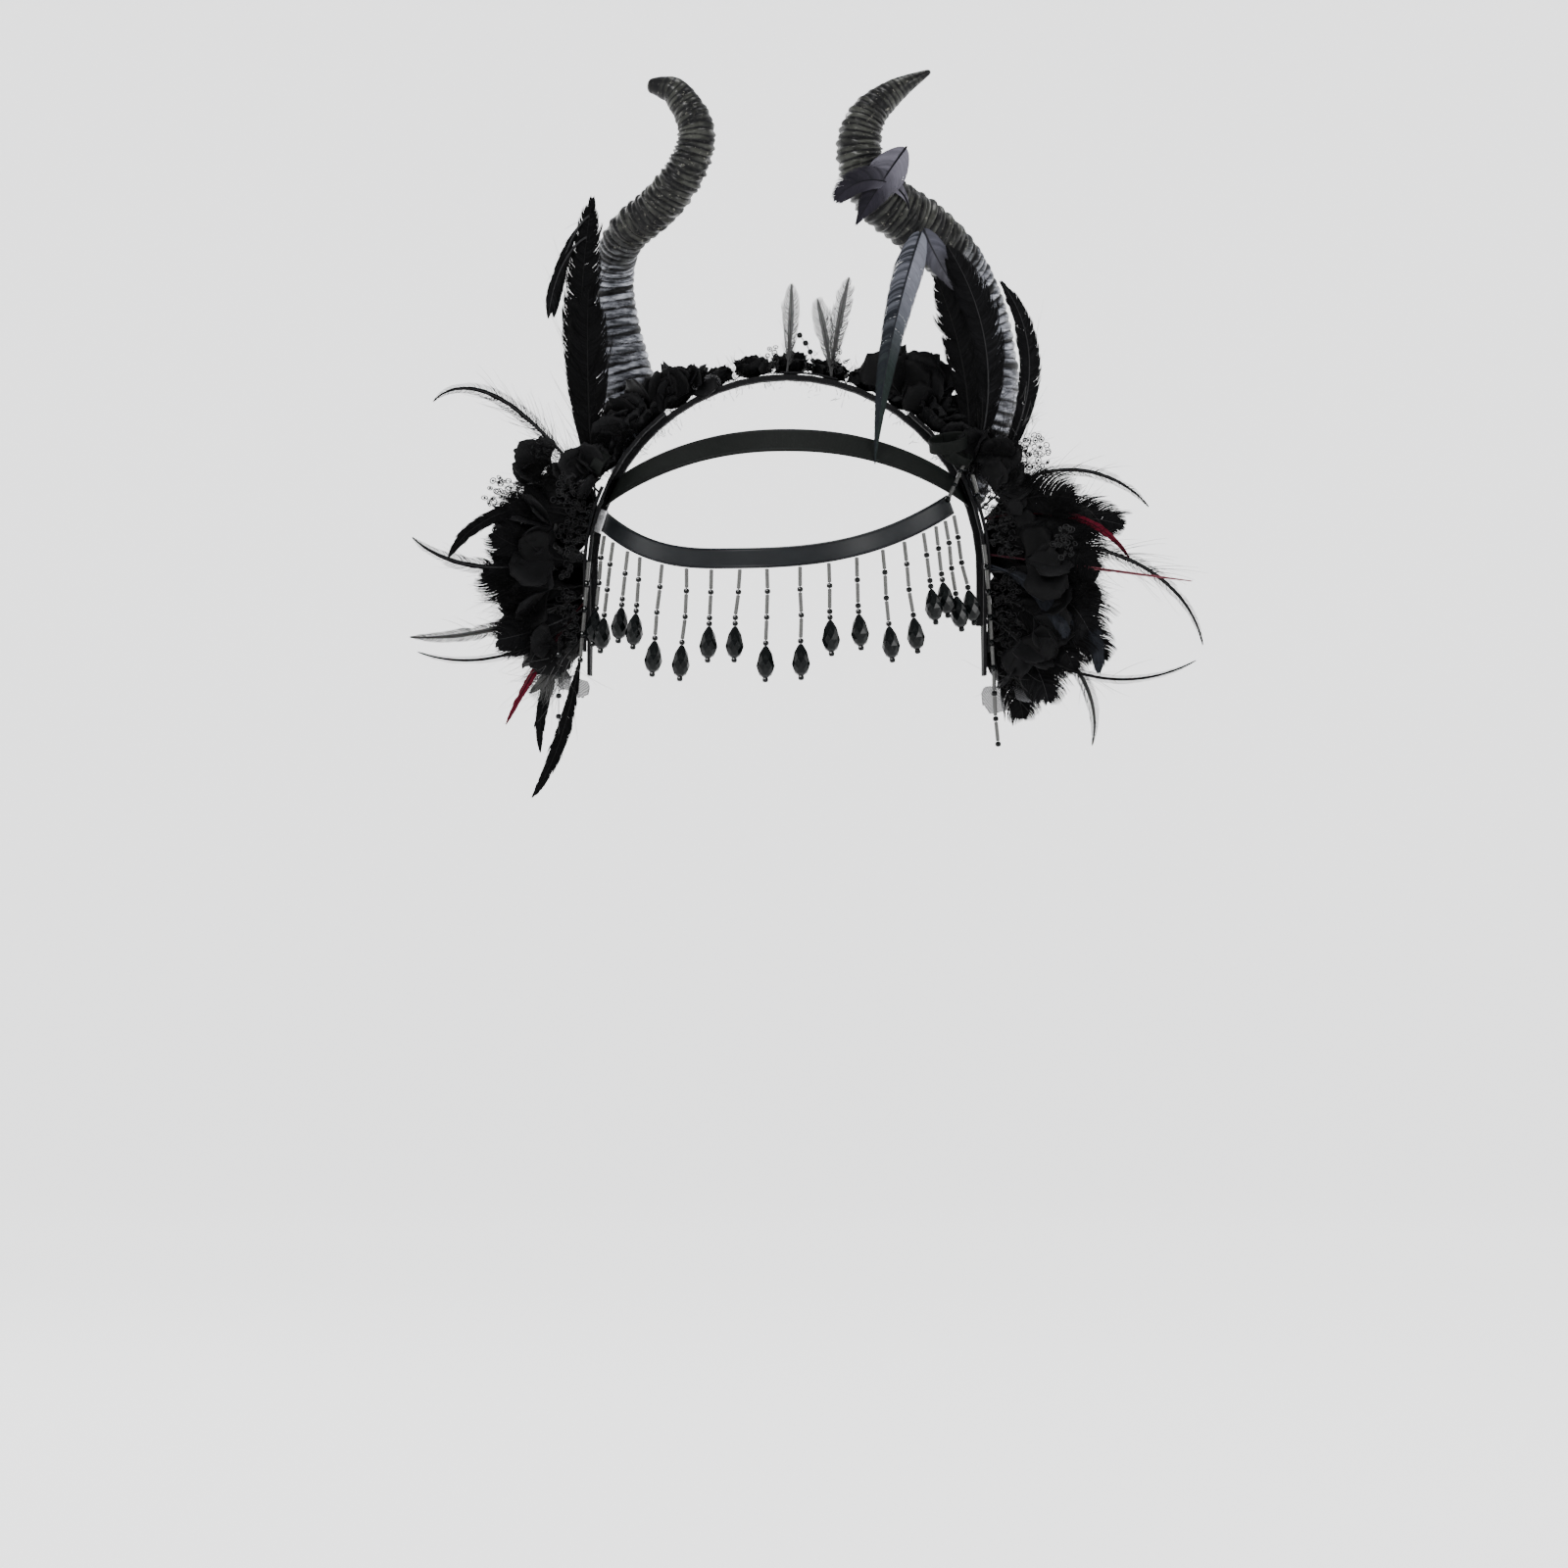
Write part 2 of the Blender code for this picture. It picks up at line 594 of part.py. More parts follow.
def blade_mesh(name, start, side, row):
    """Feather blade: a diamond section carried along the blade's line, widening and
    tapering as the vane does."""
    rings = []
    for share, heading, point in zip(*blade_line(start, side, row)):
        width = np.interp(share ** row.lead, [v[0] for v in VANE], [v[1] for v in VANE]) * row.width * VANE_WIDTH
        half = max(width, QUILL_WIDTH * (1.0 - 0.8 * share)) / 2
        across = np.array([-side * math.sin(heading), 0.0, math.cos(heading)])
        thick = FEATHER_THICK / 2 * (1.0 if share < 0.95 else 0.4)
        facing = np.array([0.0, 1.0, 0.0])
        rings.append([point - across * half, point - facing * thick, point + across * half, point + facing * thick])
    return loft(name, rings)


def tape_point(turn, setback):
    """Middle of a tape that lies on the backing's outer face."""
    return arch_point(turn, backing_outer() + GAP + TAPE_THICK / 2, setback)


def fuse_blade(tape, start, side, row):
    name = "%s_blade_%d" % (tape.name, len(tape.modifiers))
    combine(tape, add_cutter(name, blade_mesh(name, start, side, row)), "UNION")


def make_spray(name, side, rows, first_turn, last_turn):
    """Blades fused to a tape that follows the backing's outer face."""
    setback = -BACKING_BACK + TAPE_WIDTH / 2
    tape = arch_wall(name, backing_outer() + GAP, TAPE_THICK, setback - TAPE_WIDTH / 2,
                     setback + TAPE_WIDTH / 2, first_turn, last_turn, 6, BLACK_FEATHER)
    for index, row in enumerate(rows):
        stagger = TAPE_WIDTH * ROOT_STAGGER * (index % 3)
        fuse_blade(tape, tape_point(row.turn, setback - stagger), side, row)
    return tape


def make_feathers():
    left = make_spray("feather_spray_left", -1, [TALL_LEFT] + SPRAY_LEFT, -TAPE_END_TURN, -66)
    tall_root = tape_point(TALL_LEFT.turn, -BACKING_BACK + TAPE_WIDTH / 2)
    shares, headings, points = blade_line(tall_root, -1, TALL_LEFT)
    for row in FOLDED_TOP:
        start = np.array([np.interp(row.turn, shares, points[:, axis]) for axis in range(3)])
        fuse_blade(left, start, -1, row)
    make_spray("feather_spray_right", 1, SPRAY_RIGHT, 69, TAPE_END_TURN)
    make_spray("tall_feathers_right", 1, TALL_RIGHT, 62.5, 68.5)


def make_silver_feathers():
    """Two grey feathers whose quills lie a gap off the right horn's rear face."""
    for name, row in (("silver_feather_curled", SILVER_CURLED), ("silver_feather_long", SILVER_LONG)):
        middle, radius = horn_spot(HORN_RIGHT, HORN_TURN_RIGHT, HORN_HEIGHT_RIGHT, row.turn)
        start = middle - np.array([0.0, radius + FEATHER_THICK / 2 + QUILL_SEAT, 0.0])
        add_part(name, blade_mesh(name, start, 1, row), GREY_FEATHER)


def make_crown_wisps():
    """Wispy feathers that stand at the band's rear edge, behind the rosettes."""
    setback = (WISP_TAPE - BAND_WIDTH) / 2
    tape = arch_wall("crown_feathers", band_outer() + GAP, WISP_TAPE / 2, setback - WISP_TAPE / 2,
                     setback + WISP_TAPE / 2, -2, 15, 3, BLACK_FEATHER)
    for row in CROWN_WISPS:
        fuse_blade(tape, arch_point(row.turn, band_outer() + GAP + WISP_TAPE / 4, setback), 1, row)


def make_rose(name, row, seat_radius, sides, tiers):
    """Gathered flower: tiers of ruffled edges round one axis, with a flat back."""
    lean = math.radians(row.lean)
    radius = row.radius * ROSE_RADIUS
    flat = tiers[0].wide * radius
    axis = arch_normal(row.turn) * math.cos(lean) + np.array([0.0, 1.0, 0.0]) * math.sin(lean)
    first = unit(np.cross(axis, np.array([0.0, 1.0, 0.0])))
    second = np.cross(axis, first)
    origin = arch_point(row.turn, seat_radius + abs(math.sin(lean)) * flat + GAP,
                        row.setback * BACKING_BACK)
    rings = []
    for number, tier in enumerate(tiers):
        ring = []
        for side in range(sides):
            angle = 2 * math.pi * side / sides
            wave = tier.ruffle * math.cos(row.petals * angle + TIER_SHIFT * number)
            reach = radius * tier.wide * (1.0 + wave)
            rise = row.height * ROSE_HEIGHT * (tier.high - 0.5 * wave)
            ring.append(origin + reach * (first * math.cos(angle) + second * math.sin(angle)) + axis * rise)
        rings.append(ring)
    add_part(name, loft(name, rings), BLACK_SILK)


def make_flowers():
    for number, row in enumerate(CROWN_ROSETTES, start=1):
        make_rose("crown_rosette_%d" % number, row, band_outer(), ROSETTE_SIDES, ROSETTE_TIERS)
    for name, rows in (("foot_rosette_left", FOOT_LEFT), ("foot_rosette_right", FOOT_RIGHT)):
        for number, row in enumerate(rows, start=1):
            make_rose("%s_%d" % (name, number), row, backing_outer(), ROSETTE_SIDES, ROSETTE_TIERS)
    for name, rows in (("side_rose_left", SIDE_LEFT), ("side_rose_right", SIDE_RIGHT)):
        for number, row in enumerate(rows, start=1):
            make_rose("%s_%d" % (name, number), row, backing_outer(), ROSE_SIDES, ROSE_TIERS)


def make_bead_strands():
    """Strings that hang at the rear edge of each backing, and the tie by the right strap."""
    hang = -BACKING_BACK - GAP - BEAD_RADIUS
    middle = (backing_inner() + backing_outer()) / 2
    left_top = arch_point(-88, middle, hang)
    right_top = arch_point(83, middle, hang)
    make_strand("bead_strand_left", ["bugle", "bead"] * 4, left_top, unit(np.array([-0.08, 0.0, -1.0])))
    make_strand("bead_strand_right", ["bugle", "bead"] * 8, right_top, unit(np.array([0.08, 0.0, -1.0])))


def main():
    clear_scene()
    make_band()
    make_horn("horn_left", HORN_LEFT, HORN_TURN_LEFT, HORN_HEIGHT_LEFT)
    make_horn("horn_right", HORN_RIGHT, HORN_TURN_RIGHT, HORN_HEIGHT_RIGHT)
    make_straps()
    make_clip()
    make_drops()
    make_feathers()
    make_silver_feathers()
    make_crown_wisps()
    make_flowers()
    make_bead_strands()


main()
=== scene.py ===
"""Looks of the horn headband: ribbed horns, silk flowers, feathers barb by barb, lace, two
ribbons across the back and the beaded fringe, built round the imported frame.

Metres, +Z up. The origin is the crown seat, +Y is the front and +X is the right as worn. A
place on the arch is its turn in degrees from the crown, + to the right, and past 90 the
arch runs straight down, a degree being as long there as on the curve. The ribbons lie on
the seat, half an ellipsoid behind the arch."""
import math
from collections import namedtuple

import bpy
import numpy as np
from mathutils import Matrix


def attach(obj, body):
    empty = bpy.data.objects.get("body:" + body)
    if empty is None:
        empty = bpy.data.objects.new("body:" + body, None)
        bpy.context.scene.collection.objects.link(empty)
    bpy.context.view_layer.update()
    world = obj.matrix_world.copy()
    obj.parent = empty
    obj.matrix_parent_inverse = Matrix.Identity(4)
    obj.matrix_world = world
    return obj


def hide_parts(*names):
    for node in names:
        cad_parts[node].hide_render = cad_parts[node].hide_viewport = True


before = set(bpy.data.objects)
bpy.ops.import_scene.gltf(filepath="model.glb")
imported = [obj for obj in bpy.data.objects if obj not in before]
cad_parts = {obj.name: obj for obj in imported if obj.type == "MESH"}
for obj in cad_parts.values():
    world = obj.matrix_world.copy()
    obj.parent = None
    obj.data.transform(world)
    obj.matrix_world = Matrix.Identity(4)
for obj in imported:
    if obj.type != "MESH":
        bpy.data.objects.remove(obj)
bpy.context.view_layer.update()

bl_info = {
    "name": "Horn Headband",
    "version": (1, 0, 0),
    "blender": (4, 5, 0),
    "location": "View3D > Sidebar > Headband",
    "description": "Dresses the horn headband: horns, flowers, feathers, ribbons and beads",
    "category": "Add Mesh",
}

GAP = 0.0003
HEAD_RADIUS = 0.087
HEAD_BACK = 0.098
BAND_WIDTH = 0.015
BAND_THICK = 0.0025
BACKING_THICK = 0.0015
BACKING_BACK = 0.022
BAND_OUTER = HEAD_RADIUS + BAND_THICK
BACKING_INNER = BAND_OUTER + GAP
BACKING_OUTER = BACKING_INNER + BACKING_THICK

HORN_HEIGHT_LEFT = 0.170
HORN_HEIGHT_RIGHT = 0.185
HORN_GIRTH = 0.026
HORN_TURN_LEFT = -52
HORN_TURN_RIGHT = 62

STRAP_THICK = 0.001
STRAP_RAISE = 0.0005
UPPER_STRAP_WIDTH = 0.0140
UPPER_STRAP_DROP = 0.0312
UPPER_STRAP_TURN = 66.4
UPPER_STRAP_BEND = 2.2
LOWER_STRAP_WIDTH = 0.0092
LOWER_STRAP_DROP = 0.0843
LOWER_STRAP_LOWEST = -0.027
LOWER_STRAP_LEFT_TURN = -75
LOWER_STRAP_TUCK = 0.0063
LOWER_STRAP_BEND = 2.75
STRAP_JOIN = 0.0030
CLIP_WIDTH = 0.0036
CLIP_LENGTH = 0.011
CLIP_WALL = 0.0008

BUGLE_LENGTH = 0.009
BUGLE_RADIUS = 0.0009
BEAD_RADIUS = 0.00135
BEAD_LENGTH = 0.0026
TEAR_LENGTH = 0.016
TEAR_RADIUS = 0.00375
DROP_LEAN_LEFT = 6
DROP_LEAN_RIGHT = 10
DROP_STAND_OFF = 0.0015

TAPE_THICK = 0.0015
TAPE_WIDTH = 0.006
TAPE_END_TURN = 115
ROOT_STAGGER = 0.1
WISP_TAPE = 0.0018
FEATHER_THICK = 0.001
FEATHER_LENGTH = 0.100
VANE_WIDTH = 0.010
QUILL_WIDTH = 0.0016
QUILL_SEAT = 0.0007

ROSE_RADIUS = 0.020
ROSE_HEIGHT = 0.040

CAMERA_SPOT = (-0.00135, -4.0, -0.1854)
CAMERA_LENS = 200.0
FLOOR_REACH = 9.0
FLOOR_DROP = 0.62
FLOOR_FLAT = 4.6
FLOOR_RISE = 5.5
PAPER_GREY = (0.86, 0.86, 0.86)
PAPER_GLOW = 1.4
SKY_COLOUR = (0.92, 0.94, 1.0, 1.0)
SKY_STRENGTH = 0.42
LIGHT_AIM = (0.0, -0.02, -0.04)

LightRow = namedtuple("LightRow", "name spot size power")
HornRow = namedtuple("HornRow", "across depth height girth")
FeatherRow = namedtuple(
    "FeatherRow", "turn heading length curl power width back dye pitch filaments lead", defaults=(1.0,))
DyeRow = namedtuple("DyeRow", "quill root tip streak left right")
RoseRow = namedtuple("RoseRow", "turn setback radius height petals lean")
TierRow = namedtuple("TierRow", "wide high low_wide low_high petals")
DropRow = namedtuple("DropRow", "across long_drop")
LoopRow = namedtuple("LoopRow", "turn out setback wide high count size")
PetalRow = namedtuple("PetalRow", "turn out setback size heading sheer")
TuftRow = namedtuple("TuftRow", "turn out setback heading length count grey")
SeedRow = namedtuple("SeedRow", "turn out size")


def rows_of(kind, *rows):
    """Table rows from plain tuples."""
    return [kind(*row) for row in rows]


# A horn's middle line from foot to tip: places across, forward and up as shares of its
# height from its foot on the arch, and its girth as a share of HORN_GIRTH.
HORN_LEFT = rows_of(
    HornRow,
    (0.030, 0.085, -0.060, 1.08), (0.008, 0.082, 0.085, 1.04), (-0.019, 0.094, 0.219, 0.94),
    (-0.038, 0.094, 0.352, 0.75), (-0.043, 0.076, 0.470, 0.67), (-0.015, -0.012, 0.568, 0.71),
    (0.087, -0.112, 0.654, 0.73), (0.159, -0.159, 0.751, 0.69), (0.180, -0.159, 0.848, 0.63),
    (0.132, -0.135, 0.940, 0.52), (0.090, -0.124, 0.962, 0.40), (0.048, -0.118, 0.967, 0.22),
)
HORN_RIGHT = rows_of(
    HornRow,
    (-0.040, 0.078, -0.080, 1.10), (0.035, 0.076, 0.080, 1.06), (0.070, 0.070, 0.200, 1.00),
    (0.068, 0.081, 0.315, 0.92), (0.038, 0.059, 0.436, 0.90), (-0.026, 0.000, 0.544, 0.94),
    (-0.117, -0.081, 0.622, 0.98), (-0.208, -0.135, 0.686, 0.92), (-0.256, -0.151, 0.782, 0.81),
    (-0.241, -0.141, 0.877, 0.67), (-0.171, -0.119, 0.946, 0.44), (-0.081, -0.097, 0.998, 0.08),
)

# Colours of a feather's quill, vane root, vane tip and streaks, and how strongly the
# streaks show on the vane's left and right hand.
DYES = {
    "black": DyeRow((0.008, 0.008, 0.008), (0.0010, 0.0010, 0.0011), (0.0018, 0.0018, 0.002),
                    (0.006, 0.006, 0.0065), 0.4, 0.4),
    "ink": DyeRow((0.030, 0.030, 0.031), (0.0014, 0.0014, 0.0016), (0.0026, 0.0026, 0.003),
                  (0.012, 0.012, 0.013), 0.6, 0.3),
    "ash": DyeRow((0.03, 0.03, 0.035), (0.10, 0.10, 0.125), (0.075, 0.073, 0.085),
                  (0.018, 0.018, 0.022), 0.5, 0.7),
    "smoke": DyeRow((0.015, 0.015, 0.015), (0.045, 0.045, 0.045), (0.085, 0.085, 0.082),
                    (0.02, 0.02, 0.02), 0.5, 0.5),
    "red": DyeRow((0.02, 0.002, 0.004), (0.004, 0.001, 0.0015), (0.11, 0.006, 0.018),
                  (0.035, 0.002, 0.006), 0.5, 0.5),
    "pink": DyeRow((0.03, 0.008, 0.012), (0.004, 0.001, 0.0015), (0.28, 0.09, 0.11),
                   (0.2, 0.05, 0.06), 0.3, 0.3),
    "slate": DyeRow((0.02, 0.022, 0.028), (0.008, 0.009, 0.011), (0.020, 0.022, 0.027),
                    (0.006, 0.007, 0.009), 0.8, 0.5),
    "lilac": DyeRow((0.008, 0.008, 0.010), (0.165, 0.158, 0.190), (0.022, 0.020, 0.027),
                    (0.008, 0.008, 0.010), 1.0, 0.12),
    "silver": DyeRow((0.018, 0.020, 0.024), (0.185, 0.19, 0.225), (0.018, 0.025, 0.023),
                     (0.014, 0.016, 0.020), 2.1, 0.15),
    "mist": DyeRow((0.05, 0.05, 0.05), (0.06, 0.06, 0.06), (0.15, 0.15, 0.148),
                   (0.03, 0.03, 0.03), 0.5, 0.5),
}

# Turn of the root on the tape, heading above level, share of FEATHER_LENGTH, total curl,
# where the curl gathers, share of VANE_WIDTH, how far the tip leans back as a share of the
# length, dye, share of the panel's barb pitch, loose filaments, and a lead below 1 that
# brings the widest part nearer the quill.
SPRAY_LEFT = rows_of(
    FeatherRow,
    (-68, 47, 0.95, -95, 4.0, 0.62, -0.05, "ink", 1.8, 90),
    (-74, 12, 0.74, -75, 1.5, 0.6, -0.25, "black", 0.9, 10),
    (-86, -13, 0.81, 56, 2.1, 0.65, -0.36, "ink", 1.7, 20),
    (-98, -25, 0.82, 28, 1.5, 0.62, -0.14, "smoke", 1.05, 26),
    (-104, -35, 0.8, 55, 1.5, 0.36, -0.30, "black", 2.6, 10),
    (-100, -50, 0.66, -15, 1.0, 0.3, -0.20, "red", 1.0, 6),
    (-106, -48, 0.64, -46, 1.0, 0.5, -0.06, "black", 0.9, 10),
    (-110, -79, 0.78, 24, 2.5, 0.6, -0.02, "black", 0.9, 8),
)
TALL_LEFT = FeatherRow(-72, 80, 1.42, 19, 1.0, 1.6, 0.03, "black", 0.9, 60)
# Short broad feathers that lie over the rear of the flowers.
COVER_LEFT = rows_of(
    FeatherRow,
    (-77, 24, 0.38, -30, 1.0, 1.7, -0.30, "black", 0.9, 60),
    (-88, 0, 0.44, 34, 1.0, 1.9, -0.34, "black", 0.9, 60),
    (-95, -12, 0.47, 38, 1.0, 2.1, -0.28, "black", 0.9, 60),
    (-102, -30, 0.42, 20, 1.0, 1.8, -0.24, "ink", 0.9, 60),
    (-110, -52, 0.36, 10, 1.0, 1.5, -0.16, "smoke", 1.2, 60),
)
COVER_RIGHT = rows_of(
    FeatherRow,
    (76, 40, 0.44, -55, 1.0, 2.0, -0.26, "black", 0.9, 80),
    (83, 22, 0.54, -75, 1.0, 2.4, -0.30, "black", 0.9, 80),
    (91, 4, 0.56, -70, 1.0, 2.5, -0.28, "ink", 0.9, 80),
    (98, -12, 0.54, -60, 1.0, 2.2, -0.24, "black", 0.9, 80),
    (105, -30, 0.48, -50, 1.0, 2.0, -0.20, "ink", 0.9, 70),
    (111, -52, 0.40, -30, 1.0, 1.7, -0.14, "black", 0.9, 60),
    (89, -16, 0.50, -60, 1.2, 0.9, -0.36, "slate", 0.9, 20),
)
TALL_LEFT_DOWN = FeatherRow(-71, 84, 0.98, 8, 1.0, 1.8, 0.01, "black", 0.9, 70)
# The top of the tall feather is folded over: the first column is the place along it.
FOLDED_TOP = rows_of(
    FeatherRow,
    (0.94, 0, 0.50, -86, 0.22, 0.55, -0.10, "ink", 0.9, 8),
    (0.87, 0, 0.42, -84, 0.30, 0.5, -0.20, "ink", 1.0, 8),
)
SPRAY_RIGHT = rows_of(
    FeatherRow,
    (73, 44, 0.86, -95, 1.2, 0.5, -0.15, "ink", 2.0, 44),
    (82, 0, 1.18, -80, 2.0, 0.5, -0.26, "ink", 1.9, 90),
    (101, -56, 1.06, 85, 1.1, 0.36, -0.26, "black", 2.4, 18),
    (76, 14, 0.75, -75, 1.5, 0.30, -0.20, "red", 1.0, 5),
    (86, -8, 0.92, 0, 1.0, 0.10, -0.34, "pink", 0.9, 8),
    (90, -5, 0.76, -85, 1.2, 0.9, -0.12, "slate", 0.9, 8),
    (104, -15, 0.84, -88, 1.4, 0.55, -0.05, "smoke", 1.6, 40),
    (79, 20, 0.64, -36, 1.0, 1.8, -0.05, "ink", 0.9, 60),
    (94, -8, 0.66, -52, 1.0, 2.0, 0.02, "black", 0.9, 60),
    (70, 54, 1.08, 75, 1.5, 0.9, -0.05, "ink", 0.9, 14),
)
TALL_RIGHT = rows_of(
    FeatherRow,
    (64, 67, 1.10, 56, 1.0, 1.6, -0.10, "ink", 0.9, 40),
    (66, 75, 1.06, 42, 1.0, 1.5, -0.07, "black", 0.9, 40),
    (68, 82, 0.98, 30, 1.0, 1.4, -0.04, "black", 0.9, 40),
    (63, 84, 0.92, 30, 1.0, 1.3, -0.12, "black", 0.9, 50),
    (67, 80, 0.94, 36, 1.0, 1.5, 0.02, "black", 0.9, 40),
)
# These start on the right horn: the first column is the place along it.
SILVER_CURLED = FeatherRow(0.565, 70, 0.46, 168, 0.7, 1.1, -0.44, "lilac", 0.6, 0)
# A second lilac vane over the horn's front, and a short one beside the long feather.
HORN_VANE = FeatherRow(0, 233, 0.42, 8, 1.0, 2.1, -0.02, "lilac", 0.6, 0, 0.8)
HORN_VANE_START = (0.0545, -0.0400, 0.1045)
SHORT_VANE = FeatherRow(0.530, 292, 0.36, 14, 1.0, 1.5, 0.02, "ash", 0.6, 0, 0.8)
SILVER_LONG = FeatherRow(0.530, 251, 1.12, 15, 1.0, 1.65, -0.41, "silver", 0.6, 0, 0.55)
CROWN_WISPS = rows_of(
    FeatherRow,
    (0, 84, 0.4, 6, 1.0, 0.75, 0.0, "mist", 1.1, 70), (13, 96, 0.36, 8, 1.0, 0.85, 0.0, "mist", 1.1, 70),
    (13, 84, 0.46, -8, 1.0, 0.85, 0.05, "mist", 1.1, 80),
)
# Along a feather from quill to tip: share of its length, share of its width.
VANE = np.array([(0.0, 0.0), (0.12, 0.10), (0.28, 0.62), (0.50, 1.0), (0.72, 0.92), (0.90, 0.5),
                 (1.0, 0.06)])
LONG_VANE = np.array([(0.0, 0.4), (0.05, 0.66), (0.12, 0.78), (0.27, 0.70), (0.45, 0.54), (0.63, 0.40),
                      (0.78, 0.23), (0.92, 0.09), (1.0, 0.02)])

# Turn on the arch, setback as a share of BACKING_BACK, shares of ROSE_RADIUS and of
# ROSE_HEIGHT, petals in a tier, and lean of the flower towards the front.
CROWN_ROSETTES = rows_of(
    RoseRow,
    (-32.5, 0.045, 0.425, 0.263, 5, 12), (-21, 0.091, 0.41, 0.213, 5, 16), (-9.8, 0.091, 0.4, 0.25, 4, 14),
    (1.4, 0.136, 0.4, 0.237, 5, 18), (12.2, 0.091, 0.37, 0.2, 4, 14), (22.6, 0.091, 0.38, 0.225, 5, 16),
    (33.2, 0.045, 0.39, 0.325, 5, 10),
)
FOOT_LEFT = rows_of(
    RoseRow,
    (-45, -0.568, 0.43, 0.4, 5, -8), (-57.2, -0.545, 0.42, 0.3, 5, -8),
)
FOOT_RIGHT = rows_of(
    RoseRow,
    (44.8, -0.568, 0.42, 0.45, 5, -8), (56.4, -0.568, 0.4, 0.4, 5, -8),
)
SIDE_LEFT = rows_of(
    RoseRow,
    (-76, 0.409, 1.025, 0.95, 5, -4), (-106, 0.409, 0.975, 1.1, 6, -4), (-91, 1.818, 0.65, 0.6, 5, 8),
)
SIDE_RIGHT = rows_of(
    RoseRow,
    (84, 0.409, 1.025, 1.075, 6, -4), (114, 0.409, 0.975, 1.0, 5, -4), (99, 1.818, 0.65, 0.6, 5, 8),
)

# A tier of petals runs from its low radius and height to its wide radius and height, all
# shares of the flower's own.
ROSE_TIERS = rows_of(
    TierRow,
    (1.0, 0.42, 0.30, 0.0, 8), (1.0, 0.66, 0.26, 0.10, 7), (0.86, 0.84, 0.22, 0.25, 7),
    (0.70, 0.96, 0.16, 0.35, 6), (0.48, 1.0, 0.10, 0.50, 5), (0.30, 1.0, 0.05, 0.55, 4),
    (0.14, 0.97, 0.02, 0.60, 3),
)
ROSETTE_TIERS = rows_of(
    TierRow,
    (1.0, 0.55, 0.30, 0.0, 6), (0.92, 0.86, 0.20, 0.15, 6), (0.62, 1.0, 0.10, 0.35, 5),
    (0.28, 0.96, 0.02, 0.45, 3),
)

# Place along the lower strap as a share of its reach to that side, and the long kind.
DROPS = rows_of(
    DropRow,
    (-0.955, True), (-0.905, True), (-0.825, False), (-0.760, False), (-0.645, True), (-0.520, True),
    (-0.393, False), (-0.245, False), (-0.106, True), (0.071, True), (0.238, False), (0.400, False),
    (0.552, True), (0.680, True), (0.796, False), (0.872, False), (0.930, True), (0.985, True),
)

# Patches of lace loops: turn, how far out from the arch's middle, setback, width and height
# of the patch, rows of loops, and the size of one loop.
LACE_PATCHES = rows_of(
    LoopRow,
    (-75.5, 0.1330, -0.024, 0.020, 0.015, 44, 0.0014), (-64.0, 0.1265, -0.022, 0.012, 0.007, 16, 0.0013),
    (-83.0, 0.1335, -0.024, 0.008, 0.012, 16, 0.0012), (-80.0, 0.1000, -0.024, 0.014, 0.040, 46, 0.0013),
    (-106.0, 0.1010, -0.023, 0.012, 0.030, 40, 0.0013), (64.8, 0.1250, -0.022, 0.016, 0.015, 44, 0.0014),
    (84.5, 0.1270, -0.050, 0.010, 0.014, 26, 0.0013), (-70.0, 0.1080, -0.036, 0.012, 0.014, 26, 0.0013),
    (76.0, 0.1010, -0.024, 0.014, 0.040, 50, 0.0013), (104.0, 0.1020, -0.023, 0.014, 0.040, 50, 0.0013),
    (124.0, 0.1040, -0.022, 0.010, 0.030, 30, 0.0013), (-3.5, 0.0975, -0.004, 0.012, 0.006, 12, 0.0012),
    (13.5, 0.0975, -0.006, 0.012, 0.006, 14, 0.0012),
)

# Beads on a wire that stands up from the crown.
CROWN_SEEDS = rows_of(
    SeedRow,
    (3.1, 0.1076, 1.0), (4.7, 0.1042, 1.0), (6.1, 0.1004, 0.95), (7.0, 0.0966, 0.8), (7.4, 0.0945, 0.8),
)

